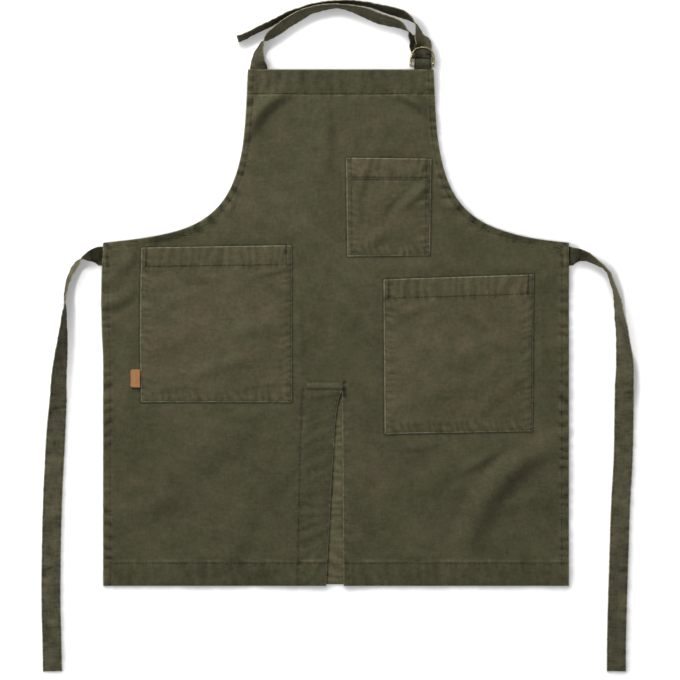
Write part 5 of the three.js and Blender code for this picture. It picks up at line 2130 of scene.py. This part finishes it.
def lines_on(surface: Surface, paths: list[Array], sink: float = 0.1, reach: float = 1.9,
             block: int = 400) -> Rows:
    """Rows of stitches laid on a sheet's upper side.

    Args:
        surface: the sheet.
        paths: the rows in the plan.
        sink: how deep the thread's middle lies in the cloth.
        reach: how far around a place the sheet's points count.
        block: how many places are worked out at a time.

    Returns:
        The rows as places and upright unit vectors. A place's height is the mean of the heights of the
        sheet's points around it, weighted by a bell curve of their distance and by the sixth power of their
        height, so that the upper skin counts.
    """
    lines = []
    for path in paths:
        dense = evenly(path, 2.0)
        low, high = dense.min(axis=0) - 3 * reach - 0.3, dense.max(axis=0) + 3 * reach + 0.3
        plan = surface.points[:, :2]
        cloud = surface.points[np.all((plan > low) & (plan < high), axis=1)]
        heights = np.empty(len(dense))
        for first in range(0, len(dense), block):
            now = slice(first, first + block)
            squared = ((dense[now][:, None] - cloud[None, :, :2]) ** 2).sum(axis=2)
            weight = np.exp(-squared / (2 * reach ** 2)) * (cloud[None, :, 2] + 0.05) ** 6
            heights[now] = (weight * cloud[None, :, 2]).sum(axis=1) / np.maximum(weight.sum(axis=1), 1e-30)
        lines.append((np.column_stack([dense, heights - sink]), np.tile([0.0, 0.0, 1.0], (len(dense), 1))))
    return lines


@dataclass
class Studio:
    """The white floor, the soft light from the upper left and the camera straight above."""

    camera_height: float = 6.0
    middle: tuple[float, float] = (0.0039, -0.0061)
    view_width: float = 1.088
    key: float = 151.0
    key_size: float = 3.0
    key_place: tuple[float, float, float] = (-1.4, 1.95, 2.5)
    sky: float = 0.42
    floor_half: float = 6.0
    floor_level: float = -0.0004
    film: float = 36.0

    def build(self, floor_finish: Material) -> None:
        """Make floor, light and camera.

        Args:
            floor_finish: the floor's material.
        """
        scene = bpy.context.scene
        scene.view_settings.view_transform = "Standard"
        corners = np.array([(x * self.floor_half, y * self.floor_half, self.floor_level)
                            for x, y in ((-1, -1), (1, -1), (1, 1), (-1, 1))])
        floor = add_mesh("studio_floor", corners, np.array([[0, 1, 2, 3]]))
        floor.data.materials.append(floor_finish)
        world = bpy.data.worlds.new("studio_sky")
        world.use_nodes = True
        sky = world.node_tree.nodes["Background"]
        sky.inputs["Color"].default_value = (1.0, 1.0, 1.0, 1.0)
        sky.inputs["Strength"].default_value = self.sky
        scene.world = world
        key = bpy.data.lights.new("studio_key", "AREA")
        key.energy = self.key
        key.shape = "SQUARE"
        key.size = self.key_size
        lamp = bpy.data.objects.new("studio_key", key)
        lamp.location = self.key_place
        lamp.rotation_euler = (-Vector(self.key_place)).to_track_quat("-Z", "Y").to_euler()
        scene.collection.objects.link(lamp)
        eye = bpy.data.cameras.new("studio_camera")
        eye.sensor_width = self.film
        eye.lens = self.film * self.camera_height / self.view_width
        eye.clip_end = 50.0
        camera = bpy.data.objects.new("studio_camera", eye)
        camera.location = (self.middle[0], self.middle[1], self.camera_height)
        scene.collection.objects.link(camera)
        scene.camera = camera


@dataclass(frozen=True)
class ClothFacts:
    """A piece of cloth's cut, how it lies and on what."""

    width: float
    length: float
    held: Held
    rests_on: tuple[str, ...] = ()
    area: float | None = None


class Workshop:
    """Makes and dresses each piece, and reports it."""

    def __init__(self) -> None:
        """Build the finishes."""
        effects = Effects()
        self.body_canvas = CanvasFinish(
            "body_canvas_washed", (0.0550, 0.0550, 0.0282), (0.0690, 0.0600, 0.0345), (0.165, 0.156, 0.096),
            wear=0.72).build(effects)
        self.pocket_canvas = CanvasFinish(
            "pocket_canvas_washed", (0.0615, 0.0600, 0.0312), (0.0790, 0.0665, 0.0385), (0.22, 0.21, 0.135),
            wear=0.8, wear_breadth=0.0017, blotch=0.55, mottle=0.6, cloud=0.45, seam_dark=0.42).build(effects)
        self.lap_canvas = CanvasFinish(
            "lap_canvas_washed", (0.083, 0.079, 0.041), (0.094, 0.081, 0.048), (0.16, 0.15, 0.096),
        ).build(effects)
        self.tape_canvas = CanvasFinish(
            "tape_canvas_washed", (0.0600, 0.0584, 0.0330), (0.0710, 0.0622, 0.0380), (0.255, 0.240, 0.150),
            wear=1.0, wear_breadth=0.0018, cloud=0.5, blotch=0.5, mottle=0.6, streak=0.8, relief=0.34,
            seam_dark=0.34).build(effects)
        self.threads = {
            Thread.OLIVE: ThreadFinish("olive_thread", (0.050, 0.047, 0.028), (0.17, 0.16, 0.10)).build(),
            Thread.PALE: ThreadFinish("pale_thread", (0.17, 0.16, 0.10), (0.50, 0.48, 0.33)).build(),
        }
        self.leather = LeatherFinish("tan_leather", (0.305, 0.132, 0.038), (0.085, 0.036, 0.012)).build()
        self.brass = BrassFinish("antique_brass", (0.43, 0.36, 0.20), (0.13, 0.105, 0.058)).build()
        self.floor = FloorFinish().build()

    @staticmethod
    def take(piece: Piece, finish: Material, slot: str, node: str | None = None) -> Piece:
        """Dress a piece, say what it belongs to, and report it.

        Args:
            piece: the piece.
            finish: its material.
            slot: not used.
            node: the CAD node that it replaces, if it does.

        Returns:
            The piece.
        """
        piece.data.materials.append(finish)
        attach(piece, "root")
        if node:
            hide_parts(node)
        LOG.info("%s: %d faces", piece.name, len(piece.data.polygons))
        return piece

    def sew(self, name: str, lines: Rows, slot: str, thread: Thread) -> Piece:
        """Make the rows of stitches of one piece with one thread, as one piece of their own."""
        points, triangles = Stitching(radius=thread.value).mesh(lines)
        return self.take(add_mesh(name, PLACEMENT(points), triangles), self.threads[thread], slot)

    def cloth(self, name: str, surface: Surface, finish: Material, slot: str, facts: ClothFacts,
              seams: dict[Thread, Rows]) -> None:
        """Args:
            name: the CAD node that it replaces, and the start of its own name.
            surface: its surface.
            finish: its material.
            slot: passed on to take and sew, where nothing uses it.
            facts: not used.
            seams: its rows of stitches, by their thread.
        """
        piece = self.take(add_cloth(f"{name}_cloth", surface), finish, slot, name)
        extra = [self.sew(f"{name}_{thread.name.lower()}_stitches", rows, slot, thread)
                 for thread, rows in seams.items()]


def main() -> None:
    """Build the studio and the apron's pieces in order."""
    logging.basicConfig(level=logging.INFO, format="%(name)s %(message)s")
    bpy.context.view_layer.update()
    shop = Workshop()
    Studio().build(shop.floor)
    s = SIZES

    body = BodyPanel()
    body_surface = body.surface()
    body_seams = lines_on(body_surface, body.seam_paths())
    shop.cloth("body_panel", body_surface, shop.body_canvas, "body_canvas",
               ClothFacts(s.waist_width, s.skirt_drop + s.bib_rise, Held.LAID,
                          ("vent_underlap_cloth", "tie_left_cloth", "tie_right_cloth", "neck_strap_cloth",
                           "ring_loop_cloth"), area=510000.0),
               {Thread.OLIVE: body_seams[:-len(TIP_STITCHES)], Thread.PALE: body_seams[-len(TIP_STITCHES):]})

    shop.cloth("vent_underlap", VentUnderlap().surface(body), shop.lap_canvas, "body_canvas",
               ClothFacts(s.underlap_width, s.vent_rise, Held.LAID), {})

    for pocket in POCKETS:
        surface = pocket.surface(body)
        rows = lines_on(surface, pocket.seam_paths())
        shop.cloth(pocket.name, surface, shop.pocket_canvas, "pocket_canvas",
                   ClothFacts(pocket.width, pocket.depth, Held.LAID, ("body_panel_cloth",)),
                   {Thread.PALE: rows[:pocket.pale_rows], Thread.OLIVE: rows[pocket.pale_rows:]})

    points, quads, rims = LabelTab().mesh(body)
    tab = add_mesh("label_tab_leather", PLACEMENT(points), quads, values={"Rim": rims * MM})
    shop.take(tab, shop.leather, "tab_leather", "label_tab")

    for tape, held in ((neck_tape(), Held.FOLDED), (ring_loop_tape(), Held.FOLDED),
                       (waist_tie(Side.LEFT), Held.LAID), (waist_tie(Side.RIGHT), Held.LAID)):
        length = float(run_along(tape.stations)[-1])
        seams = {} if tape.name == "ring_loop" else {Thread.OLIVE: tape.seam_lines()}
        shop.cloth(tape.name, tape.surface(), shop.tape_canvas, "tape_canvas",
                   ClothFacts(tape.width, length, held), seams)

    for ring in (DRing("d_ring_upper", s.upper_bar_rise, s.upper_bar, s.upper_arc, s.upper_ring_turn),
                 DRing("d_ring_lower", s.lower_bar_rise, s.lower_bar, s.lower_arc, s.lower_ring_turn)):
        points, quads = ring.mesh()
        wire = add_mesh(f"{ring.name}_wire", PLACEMENT(points), quads)
        shop.take(wire, shop.brass, "ring_brass", ring.name)


if __name__ == "__main__":
    main()
